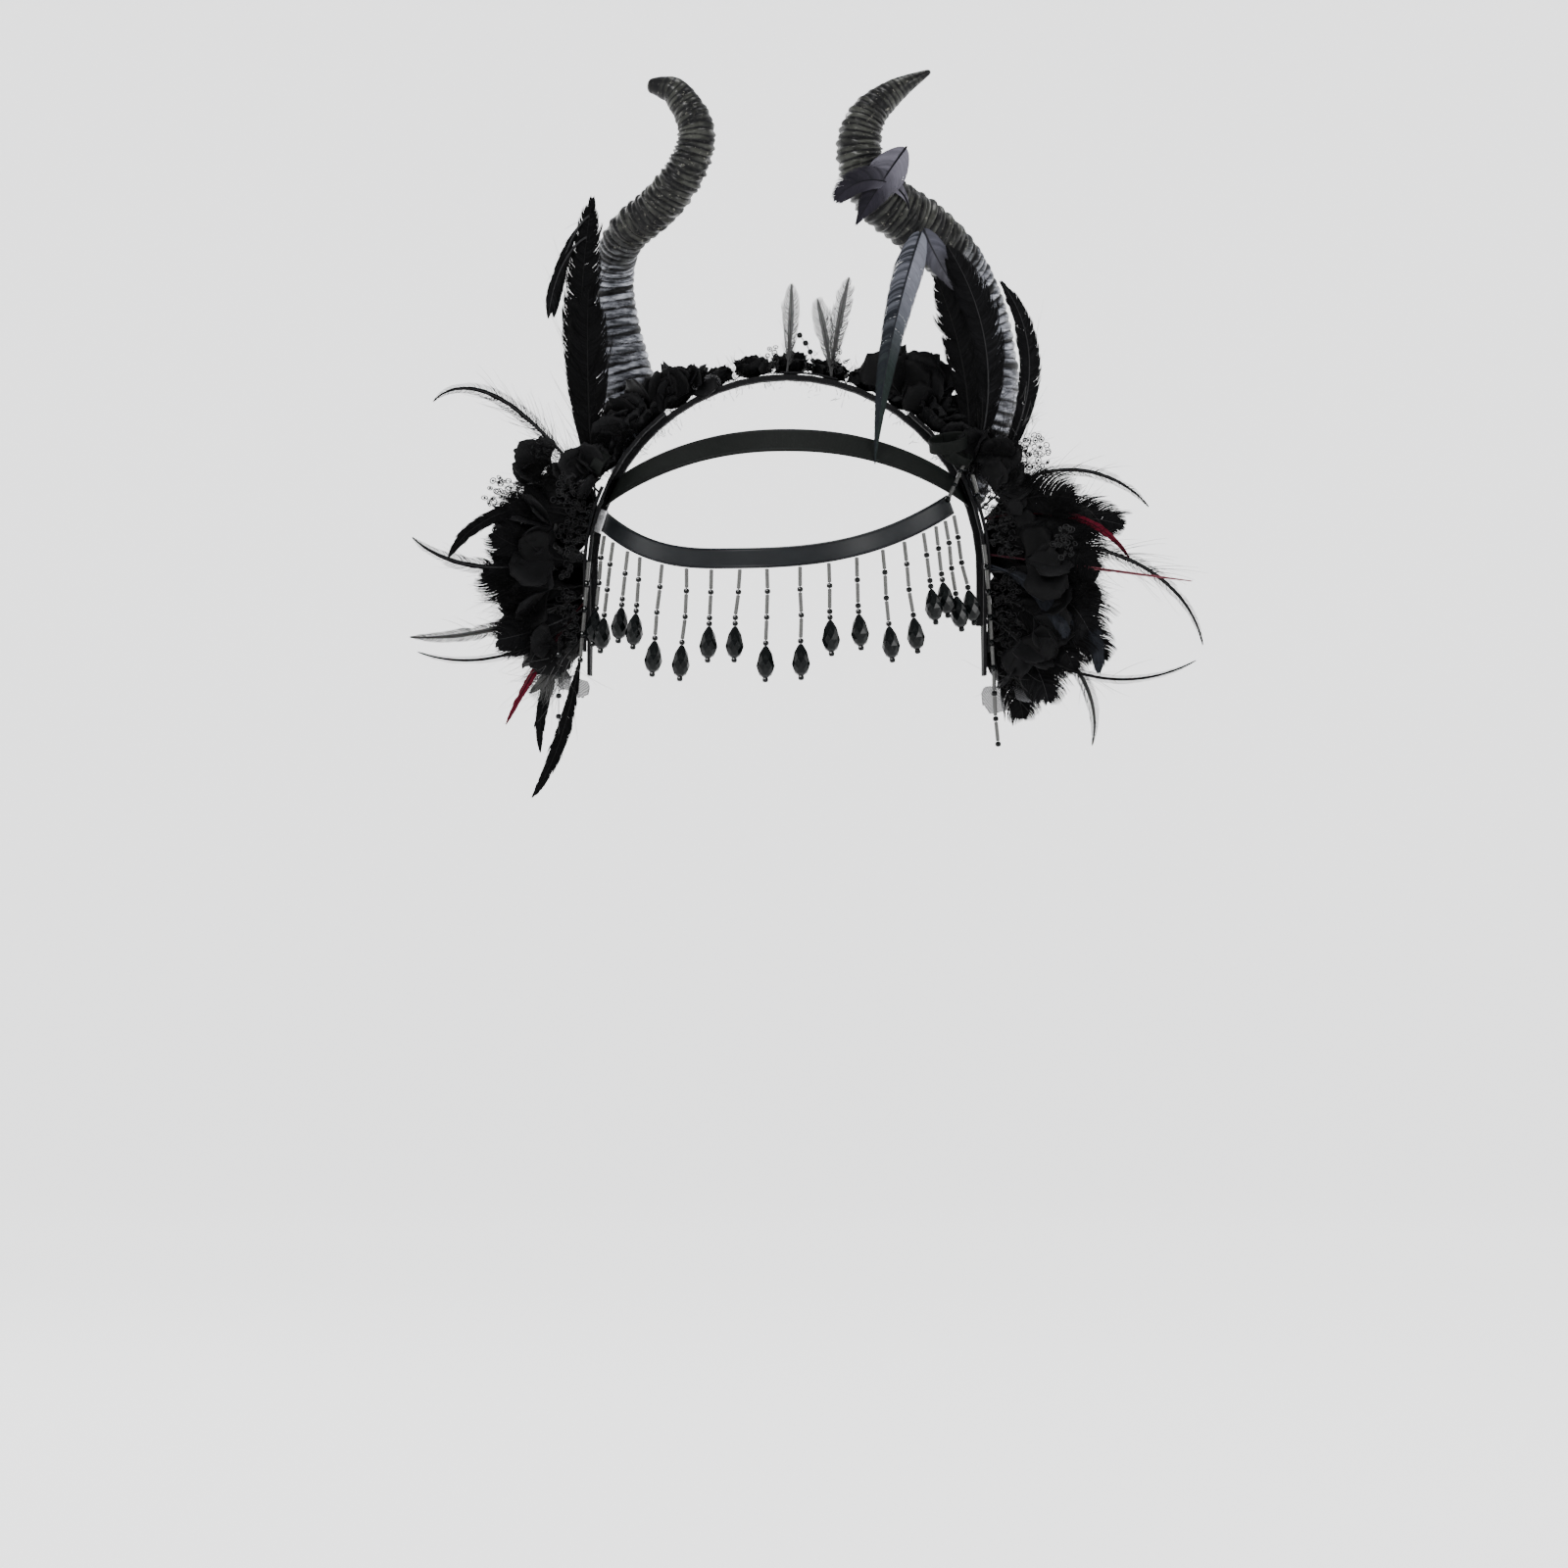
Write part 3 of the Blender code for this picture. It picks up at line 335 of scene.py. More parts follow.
# Fabric petals and leaves set loose: turn, distance out, setback, size, heading in degrees
# and whether the petal is sheer.
PETALS = rows_of(
    PetalRow,
    (-30.5, 0.0925, -0.004, 0.0150, 66, False), (-35.5, 0.0955, -0.004, 0.0125, 128, False),
    (-24.5, 0.0900, -0.003, 0.0080, 100, True), (-66.0, 0.1180, -0.020, 0.0150, 160, False),
    (-70.0, 0.1180, -0.018, 0.0140, 200, False), (-83.0, 0.1200, -0.020, 0.0160, 190, False),
    (-92.0, 0.1200, -0.020, 0.0170, 175, False), (-99.0, 0.1180, -0.020, 0.0150, 215, False),
    (-104.0, 0.1120, -0.020, 0.0110, 200, False), (-122.0, 0.0970, -0.020, 0.0110, 250, True),
    (-26.8, 0.0900, -0.001, 0.0085, 112, False), (-15.4, 0.0900, -0.001, 0.0080, 104, False),
    (-4.2, 0.0900, -0.001, 0.0080, 92, False), (6.8, 0.0900, -0.001, 0.0080, 84, False),
    (17.4, 0.0900, -0.001, 0.0080, 74, False), (27.9, 0.0900, -0.001, 0.0090, 60, False),
    (38.6, 0.0910, -0.004, 0.0130, 50, False), (-38.5, 0.0910, -0.008, 0.0110, 130, False),
    (-64.0, 0.0940, -0.020, 0.0140, 150, False), (-80.0, 0.1080, -0.026, 0.0180, 170, False),
    (-88.0, 0.1060, -0.026, 0.0200, 180, False), (-96.0, 0.1080, -0.026, 0.0190, 188, False),
    (-113.0, 0.1040, -0.024, 0.0150, 214, False), (60.0, 0.0980, -0.022, 0.0160, 56, False),
    (70.0, 0.1000, -0.024, 0.0170, 40, False), (88.0, 0.1080, -0.030, 0.0200, 4, False),
    (104.0, 0.1120, -0.028, 0.0190, -24, False), (111.0, 0.1060, -0.028, 0.0180, -50, False),
    (-69.0, 0.1040, -0.022, 0.0150, 118, False), (-64.5, 0.1000, -0.022, 0.0150, 112, False),
    (-28.5, 0.0920, -0.003, 0.0130, 112, False), (-34.0, 0.0920, -0.004, 0.0165, 118, False),
    (-42.0, 0.0930, -0.010, 0.0180, 130, False), (-48.0, 0.0930, -0.012, 0.0180, 140, False),
    (-54.0, 0.0930, -0.014, 0.0170, 146, False), (26.5, 0.0910, -0.003, 0.0160, 66, False),
    (31.0, 0.0920, -0.004, 0.0200, 62, False), (35.5, 0.0930, -0.006, 0.0240, 58, False),
    (40.0, 0.0930, -0.008, 0.0250, 55, False), (45.0, 0.0930, -0.010, 0.0220, 50, False),
    (50.5, 0.0930, -0.012, 0.0180, 42, False), (56.0, 0.0930, -0.014, 0.0180, 36, False),
    (64.0, 0.1080, -0.022, 0.0130, 70, False), (77.0, 0.1040, -0.024, 0.0110, 30, False),
    (82.0, 0.1220, -0.022, 0.0160, 20, False), (92.0, 0.1240, -0.022, 0.0170, -10, False),
    (98.0, 0.1240, -0.022, 0.0170, -35, False), (106.0, 0.1180, -0.022, 0.0160, -50, False),
    (116.0, 0.1060, -0.021, 0.0160, -60, False), (124.0, 0.1010, -0.021, 0.0150, -80, True),
)

# The strings that tie the straps by the right backing, each from its start to its end.
TIES = [
    ((0.0818, -0.0235, -0.0374), (0.0700, -0.0545, -0.0600)),
    ((0.0845, -0.0235, -0.0440), (0.0880, -0.0240, -0.0575)),
]

ROUND_STRING_TOP = (-0.1040, -0.0330, -0.1185)

# Loops of ribbon: middle, the two directions that it stands in, its two radii and its width.
LOOPS = [
    ((0.0735, -0.0290, -0.0300), (1.0, 0.1, 0.15), (0.1, 0.9, 0.5), (0.0085, 0.0050), 0.0062),
    ((0.0775, -0.0270, -0.0360), (0.8, 0.1, -0.5), (0.4, 0.9, 0.2), (0.0065, 0.0045), 0.0058),
    ((-0.0850, -0.0240, -0.0390), (0.5, 0.1, 0.9), (0.2, 1.0, -0.1), (0.0050, 0.0040), 0.0060),
]

# Tufts of loose down: turn, out, setback, heading, length, filaments, and grey or black.
TUFTS = rows_of(
    TuftRow,
    (-119.0, 0.1050, -0.020, 232, 0.024, 150, 0.11), (-66.0, 0.1160, -0.020, 118, 0.018, 40, 0.01),
    (78.0, 0.1280, -0.020, 22, 0.022, 70, 0.03), (120.0, 0.1040, -0.020, -60, 0.020, 90, 0.06),
    (57.0, 0.1260, -0.018, 60, 0.014, 60, 0.08), (64.0, 0.1150, -0.020, 72, 0.016, 60, 0.01),
    (-108.0, 0.1130, -0.018, 200, 0.014, 50, 0.05), (-69.0, 0.1160, -0.024, 160, 0.016, 240, 0.002),
    (-76.0, 0.1220, -0.026, 166, 0.014, 240, 0.002), (-84.0, 0.1200, -0.028, 174, 0.015, 240, 0.002),
    (-92.0, 0.1240, -0.030, 182, 0.014, 260, 0.002), (-99.0, 0.1230, -0.028, 190, 0.015, 260, 0.002),
    (-106.0, 0.1160, -0.026, 200, 0.015, 240, 0.003), (-113.0, 0.1080, -0.024, 214, 0.016, 240, 0.004),
    (70.0, 0.1120, -0.024, 30, 0.016, 240, 0.002), (78.0, 0.1260, -0.028, 18, 0.015, 260, 0.002),
    (86.0, 0.1300, -0.030, 6, 0.016, 260, 0.002), (94.0, 0.1310, -0.030, -6, 0.016, 260, 0.002),
    (101.0, 0.1290, -0.028, -16, 0.016, 260, 0.003), (108.0, 0.1220, -0.026, -28, 0.016, 240, 0.003),
    (116.0, 0.1120, -0.024, -44, 0.017, 240, 0.004), (-50.0, 0.0960, -0.016, 132, 0.012, 160, 0.002),
    (-58.0, 0.0980, -0.018, 146, 0.014, 180, 0.002), (52.0, 0.0990, -0.016, 42, 0.013, 180, 0.002),
    (59.0, 0.1010, -0.018, 34, 0.015, 200, 0.002), (62.5, 0.1140, -0.024, 62, 0.020, 90, 0.002),
    (-50.0, 0.0905, 0.001, 140, 0.008, 120, 0.002), (-43.0, 0.0905, 0.001, 133, 0.008, 120, 0.002),
    (-37.0, 0.0905, 0.001, 127, 0.008, 120, 0.002), (-26.5, 0.0905, 0.001, 117, 0.007, 120, 0.002),
    (-15.4, 0.0905, 0.001, 105, 0.006, 120, 0.002), (-4.2, 0.0905, 0.001, 94, 0.005, 110, 0.002),
    (6.8, 0.0905, 0.001, 83, 0.005, 110, 0.002), (17.4, 0.0905, 0.001, 73, 0.006, 110, 0.002),
    (27.9, 0.0905, 0.001, 62, 0.007, 120, 0.002), (38.6, 0.0905, 0.001, 51, 0.008, 120, 0.002),
    (46.0, 0.0905, 0.001, 44, 0.008, 120, 0.002), (54.0, 0.0905, 0.001, 36, 0.008, 120, 0.002),
)

LIGHTS = [
    LightRow("key_light", (-1.5, -2.6, 2.3), 0.9, 64.0),
    LightRow("fill_light", (2.3, -2.0, 0.9), 1.2, 20.0),
    LightRow("top_light", (0.3, 0.6, 2.6), 1.2, 26.0),
    LightRow("far_light", (-1.2, 2.6, 1.4), 1.4, 26.0),
]

# Numbers of points and faces.
HORN_DENSE = 1600
RIB_DRAWS = 97
FEATHER_POINTS = 90
BARB_STEPS = 6
RING_SIDES = 10
WIRE_SIDES = 4
DROP_SIDES = 8
CRIMP_SIDES = 48
FLOWER_BASE = 0.42

# Shares, angles and fine sizes.
FRONT = np.array([0.0, 1.0, 0.0])
BEHIND = -FRONT
PETAL_FAN = 46
PETAL_SPREAD = 0.78
CRIMP_TURN = 1.1
CRIMP_SQUARE = 0.35
LOOP_GAP = 0.15
THIN_BARB = 0.00014
CORE_SHARE = 0.30
BEAD_HOLE = 0.3
THREAD_SHARE = 0.22

# Colours of the fine pieces.
FELT_DARK = (0.012, 0.012, 0.013)
SILK_DARK = (0.006, 0.006, 0.0064)
SHEER_GREY = (0.055, 0.055, 0.058)
JET_DARK = (0.003, 0.004, 0.004)
BUGLE_GREY = (0.13, 0.13, 0.125)
THREAD_DARK = (0.01, 0.01, 0.01)
LACE_DARK = (0.0035, 0.0035, 0.004)


def sizes():
    """The sizes that the panel shows."""
    return bpy.context.scene.headband_sizes


def colours():
    """The colours that the panel shows."""
    return bpy.context.scene.headband_colours


def unit(vectors):
    """Vectors divided by their own lengths along the last axis."""
    return vectors / np.maximum(np.linalg.norm(vectors, axis=-1, keepdims=True), 1e-12)


def blend_colours(first, second, share):
    """first + (second - first) * share, for colours as the last axis."""
    return np.asarray(first) + (np.asarray(second) - np.asarray(first)) * np.asarray(share)[..., None]


def ease(value, low, high):
    """Smooth step: 0 below low, 1 above high and 3 t^2 - 2 t^3 between."""
    t = np.clip((value - low) / (high - low), 0.0, 1.0)
    return t * t * (3.0 - 2.0 * t)


class Shape:
    """Joined surfaces. Each has points, faces, a map of two numbers and a tint a point."""

    def __init__(self):
        self.points, self.maps, self.tints, self.faces = [], [], [], []
        self.count = 0

    def add(self, points, faces, maps=None, tint=(1.0, 1.0, 1.0), caps=()):
        """One more surface: an array of points, its faces as rows of indices, and caps."""
        flat = np.asarray(points, dtype=float).reshape(-1, 3)
        maps = np.zeros((len(flat), 2)) if maps is None else np.asarray(maps, dtype=float).reshape(-1, 2)
        tints = np.broadcast_to(np.asarray(tint, dtype=float), (*np.shape(points)[:-1], 3)).reshape(-1, 3)
        self.points.append(flat)
        self.maps.append(maps)
        self.tints.append(tints)
        self.faces += (np.asarray(faces) + self.count).tolist()
        self.faces += [(np.asarray(cap) + self.count).tolist() for cap in caps]
        self.count += len(flat)

    def add_skin(self, points, maps=None, tint=(1.0, 1.0, 1.0), order=-1):
        """A grid that wraps round its columns and is capped at its first and last row. The
        order, 1 or -1, turns its faces outward."""
        rows, columns = points.shape[:2]
        ring = np.arange(columns)
        caps = [ring[::-order], (rows - 1) * columns + ring[::order]]
        self.add(points, grid_faces(rows, columns, wrap_columns=True)[:, ::order], maps, tint, caps)

    def piece(self, name, material, slot, replaces=(), smooth=True):
        """One object from all the surfaces, riding on the root body."""
        mesh = bpy.data.meshes.new(name)
        mesh.from_pydata(np.concatenate(self.points).tolist(), [], self.faces)
        corners = np.empty(len(mesh.loops), dtype=np.int32)
        mesh.loops.foreach_get("vertex_index", corners)
        maps = mesh.uv_layers.new(name="lay")
        maps.data.foreach_set("uv", np.concatenate(self.maps)[corners].ravel())
        tints = mesh.attributes.new("tint", "FLOAT_COLOR", "POINT")
        colour = np.concatenate([np.concatenate(self.tints), np.ones((self.count, 1))], axis=1)
        tints.data.foreach_set("color", colour.ravel())
        mesh.polygons.foreach_set("use_smooth", np.full(len(mesh.polygons), smooth))
        mesh.materials.append(material)
        mesh.validate()
        obj = bpy.data.objects.new(name, mesh)
        bpy.context.scene.collection.objects.link(obj)
        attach(obj, "root")
        if replaces:
            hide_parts(*replaces)
        return obj


def grid_faces(rows, columns, wrap_rows=False, wrap_columns=False):
    """Four-cornered faces of a grid of points, joined round where it wraps."""
    index = np.arange(rows * columns).reshape(rows, columns)
    if wrap_rows:
        index = np.vstack([index, index[:1]])
    if wrap_columns:
        index = np.hstack([index, index[:, :1]])
    corners = [index[:-1, :-1], index[:-1, 1:], index[1:, 1:], index[1:, :-1]]
    return np.stack(corners, axis=-1).reshape(-1, 4)


def many_faces(count, per_copy, faces):
    """The faces of one grid repeated for count copies of its points."""
    faces = np.asarray(faces)
    return (faces[None] + np.arange(count)[:, None, None] * per_copy).reshape(-1, faces.shape[-1])


def tube(shape, path, radii, sides, tint):
    """Path point + radius * (side * cos a + up * sin a), both ends capped. The map holds the
    length along the path and the angle."""
    path = np.asarray(path, dtype=float)
    radii = np.broadcast_to(radii, len(path))
    along = unit(np.gradient(path, axis=0))
    side = unit(np.cross(along, FRONT) + 1e-9)
    up = np.cross(side, along)
    angle = np.arange(sides) * 2 * np.pi / sides
    ring = side[:, None] * np.cos(angle)[:, None] + up[:, None] * np.sin(angle)[:, None]
    points = path[:, None] + ring * radii[:, None, None]
    length = np.concatenate([[0.0], np.cumsum(np.linalg.norm(np.diff(path, axis=0), axis=1))])
    maps = np.stack(np.broadcast_arrays(length[:, None], angle[None] / (2 * np.pi)), axis=-1)
    shape.add_skin(points, maps, tint)


def arch_normal(turn):
    """Outward direction of the arch: (sin, 0, cos) of the turn, held at 90 degrees."""
    angle = np.radians(np.clip(turn, -90.0, 90.0))
    return np.stack([np.sin(angle), np.zeros_like(angle), np.cos(angle)], axis=-1)


def arch_point(turn, radius, setback=0.0):
    """Points on the arch at a radius from the arch's middle, for numbers or arrays."""
    turn, radius, setback = np.broadcast_arrays(np.asarray(turn, dtype=float), radius, setback)
    straight = np.radians(np.maximum(0.0, np.abs(turn) - 90.0)) * HEAD_RADIUS
    lift = np.stack([np.zeros_like(turn), setback, -HEAD_RADIUS - straight], axis=-1)
    return arch_normal(turn) * radius[..., None] + lift


def arch_along(turn):
    """Direction of growing turn along the arch."""
    angle = np.radians(np.clip(turn, -90.0, 90.0))
    return np.stack([np.cos(angle), np.zeros_like(angle), -np.sin(angle)], axis=-1)


def arch_sheet(shape, turns, back, front, inner, outer, round_off, tint):
    """Closed wall along the arch: at each turn a section from back to front with rounded
    edges, lying between the inner and the outer radius."""
    corner = np.linspace(0.0, np.pi, 7)
    half = (outer - inner) / 2
    across = np.concatenate([np.linspace(0.0, 1.0, 12), np.full(7, 1.0), np.linspace(1.0, 0.0, 12),
                             np.full(7, 0.0)])
    bulge = np.concatenate([np.zeros(12), np.sin(corner), np.zeros(12), -np.sin(corner)]) * half * round_off
    rise = np.concatenate([np.ones(12), np.cos(corner), -np.ones(12), -np.cos(corner)])
    back, front = np.broadcast_to(back, turns.shape), np.broadcast_to(front, turns.shape)
    width = front - back - 2 * half * round_off
    setback = back[:, None] + half * round_off + width[:, None] * across + bulge
    radius = (inner + outer) / 2 + half * rise
    points = arch_point(turns[:, None], np.broadcast_to(radius, setback.shape), setback)
    length = np.radians(turns) * HEAD_RADIUS
    maps = np.stack(np.broadcast_arrays(length[:, None], setback), axis=-1)
    shape.add_skin(points, maps, tint)


def through(rows, places):
    """Smooth curve through table rows, read at places from 0 to 1 (Catmull-Rom)."""
    table = np.array(rows, dtype=float)
    spot = np.clip(places, 0.0, 1.0) * (len(table) - 1)
    start = np.minimum(spot.astype(int), len(table) - 2)
    before, here = table[np.maximum(start - 1, 0)], table[start]
    after, beyond = table[start + 1], table[np.minimum(start + 2, len(table) - 1)]
    t = (spot - start)[..., None]
    return 0.5 * (2 * here + (after - before) * t + (2 * before - 5 * here + 4 * after - beyond) * t ** 2
                  + (3 * here - before - 3 * after + beyond) * t ** 3)


def horn_spots(rows, turn, height, places):
    """Middles and radii of a horn at places from its foot, 0, to its tip, 1."""
    read = through(rows, places)
    return arch_point(turn, BACKING_OUTER) + read[..., :3] * height, read[..., 3] * HORN_GIRTH / 2


def waves(rng, angle, length, count, finest):
    """Soft noise over a tube: a sum of count cosines of the angle and the length."""
    total = np.zeros(np.broadcast_shapes(angle.shape, length.shape))
    for _ in range(count):
        turns, pitch, phase = rng.integers(0, 4), rng.uniform(finest, finest * 6), rng.uniform(0, 2 * np.pi)
        total += np.cos(turns * angle + 2 * np.pi * length / pitch + phase)
    return total / np.sqrt(count)


def horn_surface(shape, rng, rows, turn, height, blunt):
    """Tube along the horn's middle line. Its radius swells at each rib, a rounded crest
    between narrow grooves: |sin(phase / 2)| to a power below 1 is its profile. The phase
    grows with the length over the pitch, leans with the angle and wavers with soft noise.
    The foot starts where each side of the tube leaves the backing, and the tip is rounded
    over its last share, blunt. The tint holds the crests' brushed paint with painted highlight,
    upper part and rise."""
    size = sizes()
    angle = np.arange(size.horn_sides) * 2 * np.pi / size.horn_sides
    places = np.linspace(0.0, 1.0, HORN_DENSE)
    middle, radius = horn_spots(rows, turn, height, places)
    along = unit(np.gradient(middle, axis=0))
    side = unit(np.cross(along, FRONT))
    up = np.cross(side, along)
    steps = np.linalg.norm(np.diff(middle, axis=0), axis=1)
    length = np.concatenate([[0.0], np.cumsum(steps)])
    rise = length / length[-1]
    pitch = size.rib_pitch_foot + (size.rib_pitch_tip - size.rib_pitch_foot) * ease(rise, 0.22, 0.62)
    turns = np.concatenate([[0.0], np.cumsum(steps / pitch[1:])])
    flat = BACKING_OUTER + GAP
    ring = side[:, None] * np.cos(angle)[:, None] + up[:, None] * np.sin(angle)[:, None]
    plain = middle[:, None] + ring * radius[:, None, None]
    reach = np.hypot(plain[..., 0], plain[..., 2] + HEAD_RADIUS)
    below = (reach < flat) & (rise[:, None] < 0.3)
    foot = (below * np.arange(HORN_DENSE)[:, None]).max(axis=0) / (HORN_DENSE - 1)
    share = np.linspace(0.0, 1.0, size.horn_rows)
    spots = foot[None] + (1.0 - foot[None]) * share[:, None]
    phase = 2 * np.pi * np.interp(spots, places, turns)
    lengths = np.interp(spots, places, length)
    upper = ease(np.interp(spots, places, rise), 0.40, 0.56)
    waver = (0.35 + 0.45 * upper) * waves(rng, angle[None], lengths, 7, 0.010)
    phase = phase + 0.9 * np.cos(angle - 0.6) + waver
    crest = np.abs(np.sin(phase / 2)) ** (0.45 + 0.25 * upper)
    rib = np.floor(phase / (2 * np.pi)).astype(int) % RIB_DRAWS
    uneven = rng.uniform(0.35, 1.15, RIB_DRAWS)[rib]
    shift = 1.3 * waves(rng, angle[None], lengths, 5, 0.012)
    knob = 0.5 + 0.5 * np.cos(3 * angle[None] + phase * 0.5 + shift)
    fade = np.minimum(1.0, 5.0 * (1.0 - np.interp(spots, places, rise)))
    fade = (fade * 1.3 - 0.2).clip(0.10, 1.0)
    relief = size.rib_relief * fade * (0.65 + 0.35 * uneven)
    swell = 1.0 + relief * (crest - 0.72 + upper * 0.9 * (knob - 0.5) * crest)
    swell += 0.010 * waves(rng, angle[None], lengths, 9, 0.004)
    tip = np.sqrt(np.clip(1.0 - ((share - (1.0 - blunt)) / blunt).clip(0.0, 1.0) ** 2, 0.0004, 1.0))
    centre, sides, ups = (read_line(places, values, spots) for values in (middle, side, up))
    out = sides * np.cos(angle)[None, :, None] + ups * np.sin(angle)[None, :, None]
    reach = np.interp(spots, places, radius) * swell * tip[:, None]
    points = centre + out * reach[..., None]
    # Brushed paint on the rib crests, which also serves as a painted highlight on each crest.
    brushed = crest * (0.45 + 0.40 * uneven + 0.28 * waves(rng, angle[None], lengths, 9, 0.0025))
    tint = np.stack([np.clip(brushed, 0.0, 1.0), upper, np.interp(spots, places, rise)], axis=-1)
    maps = np.stack(np.broadcast_arrays(angle[None] / (2 * np.pi), lengths), axis=-1)
    shape.add_skin(points, maps, tint)


def head_depth(x, z):
    """How far behind the arch the seat's surface lies at x, z."""
    inside = 1.0 - (x / HEAD_RADIUS) ** 2 - ((z + HEAD_RADIUS) / HEAD_RADIUS) ** 2
    return HEAD_BACK * np.sqrt(np.maximum(0.0, inside))


def head_normal(points):
    """Outward direction of the seat's ellipsoid."""
    x, y, z = np.moveaxis(points, -1, 0)
    slope = [x / HEAD_RADIUS ** 2, y / HEAD_BACK ** 2, (z + HEAD_RADIUS) / HEAD_RADIUS ** 2]
    return unit(np.stack(slope, axis=-1))


def rim_point(turn):
    """x and z of the seat's outline just behind the band's rear edge."""
    reach = (BAND_WIDTH / 2 + GAP) / HEAD_BACK
    radius = HEAD_RADIUS * math.sqrt(1.0 - reach ** 2)
    angle = math.radians(turn)
    return radius * math.sin(angle), -HEAD_RADIUS + radius * math.cos(angle)


def upper_strap_height(x):
    """Height of the upper strap's middle at x: its drop, rising to the ends as |x| ** bend."""
    end_x, end_z = rim_point(UPPER_STRAP_TURN)
    return -UPPER_STRAP_DROP + (end_z + UPPER_STRAP_DROP) * np.abs(x / end_x) ** UPPER_STRAP_BEND


def lower_strap_ends():
    """x and z of the lower strap's ends: on the seat's rim, and under the upper strap."""
    left = rim_point(LOWER_STRAP_LEFT_TURN)
    right_x = rim_point(UPPER_STRAP_TURN)[0] - LOWER_STRAP_TUCK
    return left, (right_x, upper_strap_height(right_x) - UPPER_STRAP_WIDTH / 2 - STRAP_JOIN)


def lower_strap_height(x):
    """Height of the lower strap's middle at x, lowest at one x and rising to each end."""
    left, right = lower_strap_ends()
    end_x = np.where(x < LOWER_STRAP_LOWEST, left[0], right[0])
    end_z = np.where(x < LOWER_STRAP_LOWEST, left[1], right[1])
    share = np.abs((x - LOWER_STRAP_LOWEST) / (end_x - LOWER_STRAP_LOWEST))
    return -LOWER_STRAP_DROP + (end_z + LOWER_STRAP_DROP) * share ** LOWER_STRAP_BEND


def strap_line(height, first_x, last_x, count):
    """Middle line of a strap on the seat's surface, closer together towards its ends, with
    its outward and upward directions."""
    middle, half = (first_x + last_x) / 2, (last_x - first_x) / 2
    x = middle - half * np.cos(np.linspace(0.0, np.pi, count))
    z = height(x)
    points = np.stack([x, -np.maximum(head_depth(x, z), BAND_WIDTH / 2 + GAP), z], axis=-1)
    along = unit(np.gradient(points, axis=0))
    outward = head_normal(points)
    flat = ease(np.abs(np.linspace(-1.0, 1.0, count)), 0.86, 1.0)[:, None]
    outward = unit(outward * (1.0 - flat * FRONT))
    upward = unit(np.cross(outward, along))
    upward = upward * np.sign(upward[:, 2:3])
    return points, outward, upward


def ribbon(shape, points, outward, upward, width, thick, raise_by):
    """Flat closed section with rounded edges carried along the line. The map holds the
    length along the ribbon and the distance across it."""
    edge = np.linspace(-np.pi / 2, np.pi / 2, 5)
    flat = np.linspace(-1.0, 1.0, 9)
    across = np.concatenate([flat, np.full(5, 1.0), flat[::-1], np.full(5, -1.0)])
    bulge = np.concatenate([np.zeros(9), np.cos(edge), np.zeros(9), -np.cos(edge)])
    lip = 0.5 + 0.5 * np.sin(edge)
    rise = np.concatenate([np.full(9, 0.0), lip, np.full(9, 1.0), 1.0 - lip])
    reach = across * (width / 2 - thick / 2) + bulge * thick / 2
    out = raise_by + thick * rise
    surface = points[:, None] + upward[:, None] * reach[..., None] + outward[:, None] * out[..., None]
    length = np.concatenate([[0.0], np.cumsum(np.linalg.norm(np.diff(points, axis=0), axis=1))])
    maps = np.stack(np.broadcast_arrays(length[:, None], reach[None]), axis=-1)
    turn = np.dot(np.cross(upward[0], points[1] - points[0]), outward[0])
    shape.add_skin(surface, maps, order=1 if turn < 0 else -1)


def blade_line(start, side, row):
    """Middle line of a feather: its heading turns by curl * share ** power, and the points
    are the running sum of its direction times a step of length."""
    length = row.length * FEATHER_LENGTH
    shares = np.linspace(0.0, 1.0, FEATHER_POINTS)
    headings = np.radians(row.heading + row.curl * shares ** row.power)
    ways = np.stack([side * np.cos(headings), np.full_like(shares, row.back), np.sin(headings)], axis=1)
    middles = (ways[1:] + ways[:-1]) / 2
    steps = np.cumsum(middles * length / (FEATHER_POINTS - 1), axis=0)
    points = np.vstack([[0.0, 0.0, 0.0], steps]) + start
    across = np.stack([-side * np.sin(headings), np.zeros_like(shares), np.cos(headings)], axis=1)
    return shares, unit(ways), across, points


def read_line(shares, values, spots):
    """Values along a line read at other spots, one number for each axis."""
    return np.stack([np.interp(spots, shares, values[:, axis]) for axis in range(values.shape[1])], axis=-1)


